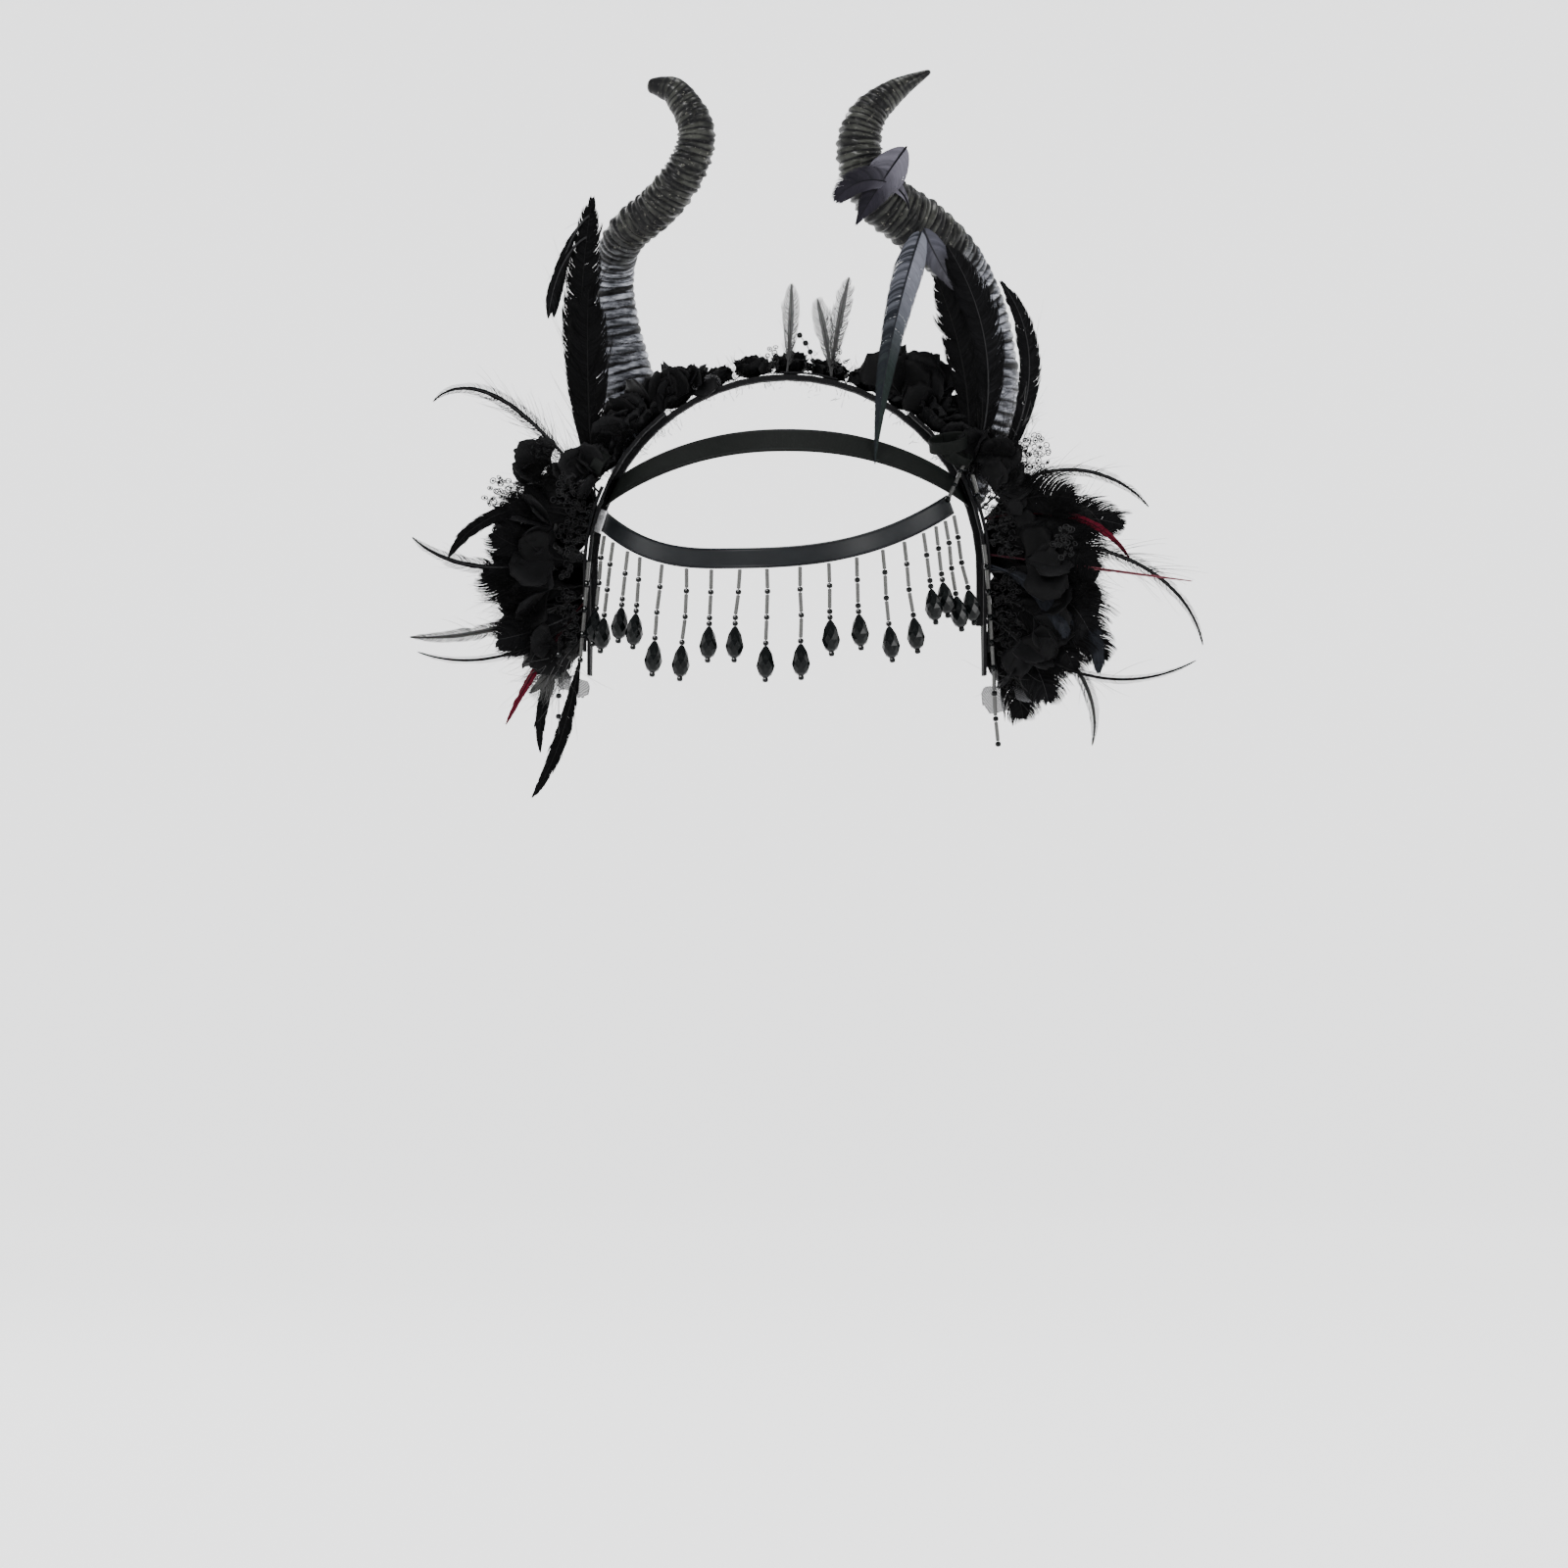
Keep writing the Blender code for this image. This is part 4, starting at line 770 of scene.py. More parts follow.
def barbs(shape, rng, line, hand, row, dye):
    """One vane as thin flat barbs, close or, past a pitch of 1, sparse as filaments. A barb
    leaves the quill at its root, reaches sideways as sin of its own share and forward as
    share ** 1.4, bends back with the square of its share, and narrows to its end.
    Neighbours in a clump lean alike, so the vane splits. The colour goes from root to tip
    along the feather, with streaks in patches of a few barbs."""
    shares, ways, across, points = line
    length = row.length * FEATHER_LENGTH
    pitch = sizes().barb_pitch * row.pitch
    count = max(int(length * 0.92 / pitch), 12)
    first = 0.02 if row.lead < 1.0 else 0.07
    roots = np.linspace(first, 0.995, count) + rng.normal(0.0, 0.15 / count, count)
    vane = LONG_VANE if row.lead < 1.0 else VANE
    width = np.interp(roots, vane[:, 0], vane[:, 1]) * row.width * VANE_WIDTH * 0.5
    clump = 7 if row.filaments else 2
    clumps = np.repeat(rng.normal(0.0, 1.0, count // clump + 2), clump)[:count]
    clumps = (clumps ** 3 / 3.5 * (1.0 if row.filaments else 0.12)).clip(-2.2, 2.2)
    ragged = rng.normal(0.0, 1.0, count) * (1.0 if row.filaments else 0.5)
    reach = width * (1.06 + 0.10 * clumps + 0.05 * ragged) * sizes().vane_fullness
    forward = width * (1.15 + 0.30 * clumps + 0.06 * ragged) + 0.0010
    forward = np.minimum(forward, (1.03 - roots) * length + 0.0012)
    t = np.linspace(0.0, 1.0, BARB_STEPS)
    root, way, side = (read_line(shares, values, roots) for values in (points, ways, across))
    facing = unit(np.cross(side, way))
    facing = facing * np.sign(facing[:, 1:2] + 1e-9)
    sideways = np.sin(t * 0.5 * np.pi * 0.96)
    bend = reach * 0.22 * (1.0 + 0.25 * clumps) + 0.00025 * ragged
    middle = (root[:, None] + hand * side[:, None] * (reach[:, None] * sideways)[..., None]
              + way[:, None] * (forward[:, None] * t ** 1.4)[..., None]
              + facing[:, None] * (bend[:, None] * t ** 2)[..., None])
    half = (pitch * 0.74 if row.pitch <= 1.0 else THIN_BARB) * (1.0 - 0.80 * t ** 2.2)[None, :, None]
    slope = unit(np.gradient(middle, axis=1))
    flat = unit(np.cross(slope, facing[:, None] + 0.25 * ragged[:, None, None] * side[:, None]))
    strip = np.stack([middle - flat * half, middle + flat * half], axis=2)
    body = blend_colours(dye.root, dye.tip, ease(roots + 0.05 * clumps, 0.12, 0.62))
    patches = np.convolve(np.repeat(rng.random(count // 4 + 3), 4), np.ones(5) / 5, mode="same")[:count]
    streak = (dye.left if hand < 0 else dye.right) * (0.15 + 1.1 * patches)
    body = blend_colours(body, dye.streak, np.clip(streak * (0.55 + 0.25 * ragged), 0.0, 1.0))
    body = body * (1.0 + 0.16 * ragged[:, None]).clip(0.55, 1.6)
    tint = np.broadcast_to(body[:, None, None], strip.shape)
    maps = np.stack(np.broadcast_arrays((roots * length)[:, None, None], (hand * t)[None, :, None],
                                        np.zeros((1, 1, 2))), axis=-1)[..., :2]
    faces = many_faces(count, BARB_STEPS * 2, grid_faces(BARB_STEPS, 2)[:, ::-int(hand)])
    shape.add(strip, faces, maps, tint)


def filaments(shape, rng, roots, ways, lengths, bends, half, tint):
    """Loose filaments as narrow strips: root + way * length * t + bend * length * t ** 2."""
    count = len(roots)
    t = np.linspace(0.0, 1.0, BARB_STEPS)[None, :, None]
    lengths = np.asarray(lengths)[:, None, None]
    middle = roots[:, None] + ways[:, None] * lengths * t + bends[:, None] * lengths * t ** 2
    slope = unit(np.gradient(middle, axis=1))
    flat = unit(np.cross(slope, unit(rng.normal(0.0, 1.0, (count, 1, 3)) + 2.0 * FRONT)))
    width = half * (1.0 - 0.75 * t)
    strip = np.stack([middle - flat * width, middle + flat * width], axis=2)
    maps = np.zeros((*strip.shape[:-1], 2))
    shape.add(strip, many_faces(count, BARB_STEPS * 2, grid_faces(BARB_STEPS, 2)), maps, tint)


def feather(shape, rng, start, side, row):
    """Quill, two vanes of barbs and the loose filaments near the quill's foot."""
    dye = DYES[row.dye]
    line = shares, ways, across, points = blade_line(start, side, row)
    quill = QUILL_WIDTH / 2 * (0.62 - 0.52 * shares)
    tube(shape, points, quill, 6, dye.quill)
    core = row._replace(pitch=0.9, width=row.width * CORE_SHARE)
    for hand in (-1, 1):
        barbs(shape, rng, line, hand, row, dye)
        if row.pitch > 1.0:
            barbs(shape, rng, line, hand, core, dye)
    if row.filaments:
        spots = rng.uniform(0.10, 0.72, row.filaments) ** 1.2
        hand = rng.choice([-1.0, 1.0], row.filaments)[:, None]
        root, way, sideways = (read_line(shares, values, spots) for values in (points, ways, across))
        lean = rng.uniform(0.35, 0.75, (row.filaments, 1))
        out = unit(way * (1.0 - 0.4 * lean) + hand * sideways * lean + rng.normal(0.0, 0.10, root.shape))
        bend = way * 0.25 - hand * sideways * 0.10 + rng.normal(0.0, 0.05, root.shape)
        span = row.length * FEATHER_LENGTH
        lengths = span * rng.uniform(0.06, 0.20, row.filaments)
        filaments(shape, rng, root, out, lengths, bend, sizes().filament_width / 2, dye.root)
    return line


def tape(shape, inner, thick, middle, width, first_turn, last_turn):
    """Strip along the arch that the feathers are sewn to."""
    turns = np.linspace(first_turn, last_turn, 40)
    arch_sheet(shape, turns, middle - width / 2, middle + width / 2, inner, inner + thick, 0.9, FELT_DARK)


def spray(shape, rng, side, rows, first_turn, last_turn):
    """Feathers whose quills start on a tape along the backing's rear edge."""
    setback = -BACKING_BACK + TAPE_WIDTH / 2
    tape(shape, BACKING_OUTER + GAP, TAPE_THICK, setback, TAPE_WIDTH, first_turn, last_turn)
    lines = []
    for index, row in enumerate(rows):
        stagger = TAPE_WIDTH * ROOT_STAGGER * (index % 3)
        root = arch_point(row.turn, BACKING_OUTER + GAP + TAPE_THICK / 2, setback - stagger)
        lines.append(feather(shape, rng, root, side, row))
    return lines


def petal(shape, rng, frame_axes, low, high, wide, curl, ruffle, tint, cup=1.0, rows=11, columns=13):
    """Cupped petals round an axis, as one block of grids. Along a petal (v) the reach runs
    from its foot to its full width as sin(v pi / 2) and the rise as 1 - cos(v pi / 2), each
    blended with a straight line by the cup. Across it (u) the angle spreads, and the spread
    narrows past the middle of v as sqrt(1 - 0.85 t^2), which rounds the outline. The
    corners fall back with u^4 v^3, the lip curls out over the last 0.3 of v, and the ruffle
    is two cosines of u that grow with v squared."""
    origin, first, second, axis = frame_axes
    count = len(low)
    v = np.linspace(0.0, 1.0, rows)[None, :, None]
    u = np.linspace(-1.0, 1.0, columns)[None, None, :]
    start, low_wide, low_high = (low[:, index, None, None] for index in range(3))
    high_wide, high_high = (high[:, index, None, None] for index in range(2))
    spread = wide[:, None, None] * (0.30 + 0.70 * np.sin(np.minimum(v * 1.5, 1.0) * np.pi / 2))
    spread = spread * np.sqrt(1.0 - 0.85 * ((v - 0.55) / 0.45).clip(0.0, 1.0) ** 2)
    angle = start + u * spread + 0.12 * v * rng.normal(0.0, 1.0, (count, 1, 1))
    phase = rng.uniform(0.0, 2 * np.pi, (count, 1, 1))
    wavy = np.cos(u * rng.uniform(5.0, 9.0, (count, 1, 1)) + phase)
    wavy = (wavy + 0.5 * np.cos(u * 13.0 + 2.0 * phase)) * v ** 2 * ruffle
    lip = np.clip((v - 0.70) / 0.30, 0.0, 1.0) ** 2
    lip = lip * curl * (1.0 + 0.5 * rng.normal(0.0, 1.0, (count, 1, 1)))
    outward = (1.0 - cup) * v + cup * np.sin(v * np.pi / 2)
    upward = (1.0 - cup) * v + cup * (1.0 - np.cos(v * np.pi / 2))
    corner = u ** 4 * v ** 3
    reach = low_wide + (high_wide - low_wide) * outward * (1.0 - 0.10 * corner) + 0.7 * wavy
    reach = reach + lip * high_wide * 0.20
    rise = low_high + (high_high - low_high) * upward * (1.0 - 0.28 * corner) + 0.5 * wavy
    rise = rise - lip * (high_high - low_high) * 0.30
    around = first * np.cos(angle)[..., None] + second * np.sin(angle)[..., None]
    points = origin + reach[..., None] * around + rise[..., None] * axis
    maps = np.stack(np.broadcast_arrays(u * high_wide, v * high_wide + 0 * u), axis=-1)
    shade = np.asarray(tint) * (1.0 + 0.35 * rng.normal(0.0, 1.0, (count, 1, 1, 1))).clip(0.4, 2.2)
    faces = many_faces(count, rows * columns, grid_faces(rows, columns))
    shape.add(points, faces, maps, np.broadcast_to(shade, points.shape))


def rose_axes(row, seat_radius, flat):
    """Foot of a flower on the arch, and its three directions: two across and its axis."""
    lean = math.radians(row.lean)
    axis = arch_normal(row.turn) * math.cos(lean) + FRONT * math.sin(lean)
    first = unit(np.cross(axis, FRONT))
    seat = seat_radius + abs(math.sin(lean)) * flat + GAP
    origin = arch_point(row.turn, seat, row.setback * BACKING_BACK)
    return origin, first, np.cross(axis, first), axis


def flower(shape, rng, row, seat_radius, tiers, base_share):
    """Gathered flower: tiers of petals round one axis on a flat round base."""
    radius, height = row.radius * ROSE_RADIUS, row.height * ROSE_HEIGHT
    axes = rose_axes(row, seat_radius, base_share * radius)
    origin, axis = axes[0], axes[3]
    core = np.array([[0.0, 0.0], [base_share, 0.0], [base_share, 0.03], [0.30, 0.30], [0.16, 0.62],
                     [0.0, 0.66]])
    turned(shape, core * [radius, height], 20, origin[None], axis[None], SILK_DARK)
    for number, tier in enumerate(tiers):
        count = tier.petals
        start = 2 * np.pi * (np.arange(count) + 0.37 * number) / count + rng.normal(0.0, 0.10, count)
        vary = rng.normal(0.0, 1.0, (count, 2))
        foot = np.full((count, 2), (tier.low_wide * radius, tier.low_high * height))
        low = np.column_stack([start, foot])
        high = np.column_stack([radius * tier.wide * (1 + 0.07 * vary[:, 0]),
                                height * tier.high + 0.05 * radius * vary[:, 1]])
        wide = np.full(count, np.pi / count * 1.42)
        petal(shape, rng, axes, low, high, wide, 1.0, 0.07 * radius, SILK_DARK)


def turned(shape, profile, sides, origins, axes, tint, closed=False):
    """Copies of a profile of (radius, height) pairs turned about axes through origins. A
    profile that ends on the axis is closed there by its last ring, and a closed profile is
    a ring such as a bead with its hole."""
    profile = np.asarray(profile, dtype=float)
    origins, axes = np.asarray(origins, dtype=float), unit(np.asarray(axes, dtype=float))
    profile = np.where(profile == 0.0, [[1e-6, 0.0]], profile) if not closed else profile
    reference = np.where(np.abs(axes[:, 1:2]) < 0.9, [[0.0, 1.0, 0.0]], [[1.0, 0.0, 0.0]])
    first = unit(np.cross(reference, axes))
    second = np.cross(axes, first)
    angle = np.arange(sides) * 2 * np.pi / sides
    ring = (first[:, None, None] * np.cos(angle)[:, None]
            + second[:, None, None] * np.sin(angle)[:, None])
    points = (origins[:, None, None] + ring * profile[None, :, None, 0:1]
              + axes[:, None, None] * profile[None, :, None, 1:2])
    count, rows = len(origins), len(profile)
    faces = many_faces(count, rows * sides, grid_faces(rows, sides, wrap_rows=closed, wrap_columns=True))
    caps = []
    if not closed:
        starts = np.arange(count) * rows * sides
        caps = [start + np.arange(sides)[::-1] for start in starts]
        caps += [start + (rows - 1) * sides + np.arange(sides) for start in starts]
    tints = np.asarray(tint, dtype=float)
    tints = tints if tints.ndim == 1 else tints[:, None, None]
    shape.add(points, faces, None, np.broadcast_to(tints, points.shape), caps)


def faceted_drop(shape, origin, axis, length, radius):
    """Briolette: rings of eight corners, each turned half a step from the last, joined by
    flat triangles. It widens to its girdle at three fifths and narrows to a small bead."""
    profile = np.array([(0.20, 0.0), (0.40, 0.06), (0.76, 0.22), (1.00, 0.40), (1.10, 0.56), (1.00, 0.70),
                        (0.72, 0.82), (0.26, 0.90)])
    sides = DROP_SIDES
    axis = unit(np.asarray(axis))
    first = unit(np.cross(FRONT, axis))
    second = np.cross(axis, first)
    angle = (np.arange(sides)[None] + 0.5 * (np.arange(len(profile)) % 2)[:, None]) * 2 * np.pi / sides
    ring = first * np.cos(angle)[..., None] + second * np.sin(angle)[..., None]
    wide, down = profile.T * [[radius], [length]]
    points = origin + ring * wide[:, None, None] + axis * down[:, None, None]
    index = np.arange(len(profile) * sides).reshape(-1, sides)
    after = np.roll(index, -1, axis=1)
    faces = []
    for row in range(len(profile) - 1):
        here, next_here, up, next_up = index[row], after[row], index[row + 1], after[row + 1]
        if row % 2 == 0:
            faces += [np.stack([here, next_here, up], 1), np.stack([next_here, next_up, up], 1)]
        else:
            faces += [np.stack([here, next_here, next_up], 1), np.stack([here, next_up, up], 1)]
    shape.add(points, np.concatenate(faces), None, JET_DARK, [index[0][::-1], index[-1]])


def bead_profile(radius, length):
    """Closed ring: the outer half circle from hole to hole, and the straight hole."""
    angle = np.linspace(-np.pi / 2, np.pi / 2, 8)
    bore = radius * BEAD_HOLE
    outer = bore + (radius - bore) * np.cos(angle) ** 0.8
    return np.stack([outer, length / 2 * np.sin(angle)], axis=1)


def bugle_profile(radius, length):
    """Glass tube with rounded lips and an open hole."""
    bore, lip = radius * 0.5, radius * 0.22
    half = length / 2
    return np.array([(bore, -half + lip), (bore + lip, -half), (radius - lip, -half), (radius, -half + lip),
                     (radius, half - lip), (radius - lip, half), (bore + lip, half), (bore, half - lip)])


def strand(shape, rng, kinds, top, direction, sway=1.0):
    """Thread with bugles, beads and a drop on it, from its top down. Each bugle leans a
    little, and the pieces meet where it ends."""
    direction = unit(np.asarray(direction, dtype=float))
    spot, path = np.array(top, dtype=float), [np.array(top, dtype=float)]
    bugle_spots, bugle_ways, bead_spots, bead_ways = [], [], [], []
    for kind in kinds:
        lean = unit(direction + sway * rng.normal(0.0, 0.045, 3) * np.array([1.0, 0.35, 0.0]))
        if kind == "bugle":
            bugle_spots.append(spot + lean * BUGLE_LENGTH / 2)
            bugle_ways.append(lean)
            spot = spot + lean * BUGLE_LENGTH
        elif kind == "bead":
            bead_spots.append(spot + direction * BEAD_LENGTH / 2)
            bead_ways.append(lean)
            spot = spot + direction * BEAD_LENGTH
        elif kind == "thread":
            spot = spot + direction * BEAD_LENGTH * 2.6
        else:
            faceted_drop(shape, spot, direction, TEAR_LENGTH, TEAR_RADIUS)
            bead_spots.append(spot + direction * TEAR_LENGTH * 0.945)
            bead_ways.append(direction)
        path.append(spot)
    if bugle_spots:
        turned(shape, bugle_profile(BUGLE_RADIUS, BUGLE_LENGTH * 0.97), 12, bugle_spots, bugle_ways,
               BUGLE_GREY, closed=True)
    scale = np.where(rng.random(len(bead_spots)) < 0.3, 1.0, 0.96)
    turned(shape, bead_profile(BEAD_RADIUS, BEAD_LENGTH * 0.92), 12, bead_spots, bead_ways,
           np.array(JET_DARK) * scale[:, None], closed=True)
    tube(shape, np.array(path), BUGLE_RADIUS * THREAD_SHARE, 5, THREAD_DARK)


def lace_loops(shape, rng, row):
    """A patch of lace: small wire rings side by side with picots, joined by short threads.
    Each ring is centre + radius * (first * cos + second * sin) with a thin round wire."""
    centre = arch_point(row.turn, row.out, row.setback)
    outward, along = arch_normal(row.turn), arch_along(row.turn)
    count = row.count
    step = row.size * 1.9
    columns = max(int(row.wide / step), 2)
    index = np.arange(count * 2)
    place = np.stack([(index % columns) - columns / 2, index // columns - count / columns], axis=1) * step
    inside = (place[:, 0] / row.wide) ** 2 + (place[:, 1] / row.high) ** 2 < 0.30
    place = place[inside] + rng.normal(0.0, step * 0.34, (inside.sum(), 2))
    depth = rng.normal(0.0, 0.0010, len(place))
    spots = centre + outward * place[:, 0:1] + along * place[:, 1:2] + FRONT * depth[:, None]
    normals = unit(BEHIND + 0.55 * rng.normal(0.0, 1.0, (len(spots), 3)))
    angle = np.arange(RING_SIDES) * 2 * np.pi / RING_SIDES
    radius = row.size * rng.uniform(0.75, 1.15, len(spots))
    wire = sizes().lace_wire / 2
    turn = np.arange(WIRE_SIDES) * 2 * np.pi / WIRE_SIDES
    round_wire = np.stack([np.cos(turn), np.sin(turn)], axis=1) * wire
    first = unit(np.cross(normals, np.array([0.3, 0.1, 1.0])))
    second = np.cross(normals, first)
    out = first[:, None] * np.cos(angle)[:, None] + second[:, None] * np.sin(angle)[:, None]
    reach = radius[:, None, None, None] + round_wire[:, 0, None]
    points = (spots[:, None, None] + out[:, :, None] * reach
              + normals[:, None, None] * round_wire[:, 1, None])
    faces = many_faces(len(spots), RING_SIDES * WIRE_SIDES,
                       grid_faces(RING_SIDES, WIRE_SIDES, wrap_rows=True, wrap_columns=True)[:, ::-1])
    shape.add(points, faces, None, LACE_DARK)
    toward = unit(np.roll(spots, 1, axis=0) - spots + 1e-9)
    filaments(shape, rng, spots, toward, radius * 2.4, 0.1 * normals, wire, LACE_DARK)
    keep = rng.random(len(spots)) < 0.4
    if keep.any():
        picot = bead_profile(row.size * 0.42, row.size * 0.7)
        turned(shape, picot, 8, spots[keep], normals[keep], JET_DARK, closed=True)


def loose_petal(shape, rng, row, tint, count):
    """Crumpled petals from one foot: each points near the group's heading, turned about its
    own length and cupped."""
    foot = arch_point(row.turn, row.out, row.setback)
    for heading in np.radians(row.heading + np.linspace(-1.0, 1.0, count) * PETAL_FAN * (count > 1)):
        way = unit(np.array([math.cos(heading), rng.normal(0.0, 0.25), math.sin(heading)]))
        facing = BEHIND + 0.7 * rng.normal(0.0, 1.0, 3)
        facing = unit(facing - way * np.dot(way, facing))
        size = row.size * rng.uniform(0.75, 1.05)
        axes = (foot, way, np.cross(facing, way), facing)
        low = np.array([[0.0, 0.05 * size, 0.0]])
        high = np.array([[size, 0.30 * size]])
        petal(shape, rng, axes, low, high, np.array([PETAL_SPREAD]), 0.6, 0.05 * size, tint, 0.5, 9, 11)


def tuft(shape, rng, row):
    """Loose down from one place: filaments that fan about the heading."""
    foot = arch_point(row.turn, row.out, row.setback)
    heading = np.radians(row.heading + rng.normal(0.0, 34.0, row.count))
    way = np.stack([np.cos(heading), rng.normal(0.0, 0.45, row.count), np.sin(heading)], axis=1)
    roots = foot + rng.normal(0.0, 0.0036, (row.count, 3))
    bends = rng.normal(0.0, 0.22, (row.count, 3))
    lengths = row.length * rng.uniform(0.4, 1.0, row.count)
    filaments(shape, rng, roots, unit(way), lengths, bends, sizes().filament_width / 2, (row.grey,) * 3)


class Wire:
    """A shader socket that Python arithmetic works on. Each operator adds a Math node, and
    node() adds any other kind: its settings first, then its sockets' values or links."""

    def __init__(self, tree, socket=None):
        self.tree, self.socket = tree, socket

    def node(self, kind, settings=None, inputs=None, output=0):
        """A node of one kind, as a Wire on one of its outputs."""
        made = self.tree.nodes.new("ShaderNode" + kind)
        for key, value in (settings or {}).items():
            setattr(made, key, value)
        for key, value in (inputs or {}).items():
            if isinstance(value, Wire):
                self.tree.links.new(value.socket, made.inputs[key])
            else:
                made.inputs[key].default_value = value
        return Wire(self.tree, made.outputs[output])

    def math(self, operation, *values, clamp=False):
        return self.node("Math", {"operation": operation, "use_clamp": clamp}, dict(enumerate(values)))

    def __add__(self, other):
        return self.math("ADD", self, other)

    def __radd__(self, other):
        return self.math("ADD", other, self)

    def __sub__(self, other):
        return self.math("SUBTRACT", self, other)

    def __rsub__(self, other):
        return self.math("SUBTRACT", other, self)

    def __mul__(self, other):
        return self.math("MULTIPLY", self, other)

    def __rmul__(self, other):
        return self.math("MULTIPLY", other, self)

    def clip(self):
        """The value kept between 0 and 1."""
        return self.math("ADD", self, 0.0, clamp=True)

    def sine(self):
        """The sine of the value, in radians."""
        return self.math("SINE", self)

    def mix(self, first, second):
        """Colour that goes from first to second as this value goes from 0 to 1."""
        first = first if isinstance(first, Wire) else (*first, 1.0)
        second = second if isinstance(second, Wire) else (*second, 1.0)
        return self.node("Mix", {"data_type": "RGBA"}, {0: self, 6: first, 7: second}, 2)

    def scaled(self, amount):
        """Colour or vector times a value."""
        return self.node("VectorMath", {"operation": "SCALE"}, {0: self, 3: amount})

    def axes(self):
        """The three numbers of a vector or colour."""
        first = self.node("SeparateXYZ", None, {0: self})
        return tuple(Wire(self.tree, socket) for socket in first.socket.node.outputs)

    def noise(self, scale, detail=3.0, roughness=0.55):
        """Noise from 0 to 1 at this place; the scale is in blobs to the metre."""
        return self.node("TexNoise", None, {
            "Vector": self, "Scale": scale, "Detail": detail, "Roughness": roughness})

    def stretched(self, scale):
        """A place with each axis times its own scale."""
        return self.node("Mapping", None, {0: self, 3: scale})

    def bump(self, strength, distance):
        """A normal pushed in and out by this height, up to the distance in metres."""
        return self.node("Bump", None, {"Height": self, "Strength": strength, "Distance": distance})


def new_finish(name, **constants):
    """A material with its Principled shader's constants set, and its tree as a Wire."""
    material = bpy.data.materials.new(name)
    material.use_nodes = True
    shader = material.node_tree.nodes["Principled BSDF"]
    for key, value in constants.items():
        shader.inputs[key.replace("_", " ")].default_value = value
    return material, Wire(material.node_tree), shader


def drive(tree, shader, **wires):
    """Links values that change over the surface to the shader's sockets."""
    for key, value in wires.items():
        tree.tree.links.new(value.socket, shader.inputs[key.replace("_", " ")])


def tint_of(tree):
    """The piece's own colour, kept at its points."""
    return tree.node("Attribute", {"attribute_name": "tint"})


def object_place(tree):
    """Object coordinates, in metres."""
    return tree.node("TexCoord", output=3)


def piece_map(tree):
    """The piece's own map: lengths along and across its surface."""
    return tree.node("UVMap", {"uv_map": "lay"})


def horn_paint():
    """Near-black paint, dry-brushed: silver on the crests of the foot, olive on the crests
    higher up, scuffed by noise, and dull in the grooves. The paler silver and moss on the
    crests are partly paint and partly a painted highlight."""
    look = colours()
    material, tree, shader = new_finish("horn_paint", Specular_IOR_Level=0.15, Coat_Roughness=0.22)
    crest, upper, _ = tint_of(tree).axes()
    place = object_place(tree)
    scuff = place.noise(420.0, 5.0, 0.7)
    patch = place.noise(70.0, 3.0, 0.6)
    streaks = place.stretched((90.0, 90.0, 420.0)).noise(1.0, 4.0, 0.7)
    # high: where the crests take the paler colour, partly dry-brushed paint and partly a painted highlight
    # on each rib.
    high = ((crest - 0.34 - 0.50 * (scuff - 0.5) + 0.60 * (patch - 0.5)) * 2.6).clip()
    silver = ((streaks - 0.42) * 3.2).clip().mix(look.horn_silver, look.horn_pale_paint_and_highlight)
    olive = ((patch - 0.42) * 4.0 + 0.6 * (scuff - 0.5)).clip().mix(look.horn_olive, look.horn_moss_paint_and_highlight)
    crest_paint_and_highlight = upper.mix(silver, olive)
    speck = ((scuff - 0.60) * 9.0).clip() * upper * 0.75
    colour = high.mix(look.horn_dark, crest_paint_and_highlight)
    colour = speck.mix(colour, look.horn_fleck)
    rough = 0.28 + 0.26 * patch + 0.20 * (1.0 - crest)
    metal = high * (0.55 - 0.35 * upper)
    drive(tree, shader, Base_Color=colour, Roughness=rough, Metallic=metal,
          Coat_Weight=0.10 + 0.25 * high,
          Normal=(0.7 * scuff + 0.3 * patch).bump(0.35, 0.0006))
    return material


def feather_vane():
    """The tint of each barb with fine streaks along the barbs and a soft gloss."""
    material, tree, shader = new_finish("feather_vane", Specular_IOR_Level=0.05)
    lay = piece_map(tree)
    fine = lay.stretched((2600.0, 3.0, 1.0)).noise(1.0, 2.0)
    broad = object_place(tree).noise(160.0, 2.0)
    tint = tint_of(tree)
    drive(tree, shader, Base_Color=tint.scaled(0.62 + 0.46 * fine + 0.36 * broad),
          Roughness=0.34 + 0.26 * fine)
    return material


def petal_silk():
    """Black satin: a fine slanting weave, soft creases and a duller face where it creases."""
    material, tree, shader = new_finish(
        "petal_silk", Specular_IOR_Level=0.10, Sheen_Weight=0.02, Sheen_Roughness=0.4)
    place = object_place(tree)
    u, v, _ = piece_map(tree).axes()
    weave = ((u + v) * 9000.0).sine() * 0.5 + ((u - v) * 5200.0).sine() * 0.5
    crease = place.noise(190.0, 4.0, 0.6)
    tint = tint_of(tree)
    drive(tree, shader, Base_Color=tint.scaled(0.55 + 0.9 * crease), Roughness=0.40 + 0.30 * crease,
          Normal=(0.12 * weave + crease).bump(0.30, 0.0008))
    return material


def petal_sheer():
    """Grey organza: open threads, so part of what lies behind shows."""
    material, tree, shader = new_finish("petal_sheer", Roughness=0.5)
    u, v, _ = piece_map(tree).axes()
    threads = ((u * 6500.0).sine() * 0.5 + 0.5) * 0.5 + ((v * 6500.0).sine() * 0.5 + 0.5) * 0.5
    tint = tint_of(tree)
    drive(tree, shader, Base_Color=tint.scaled(0.7 + 0.6 * threads), Alpha=0.42 + 0.36 * threads)
    return material


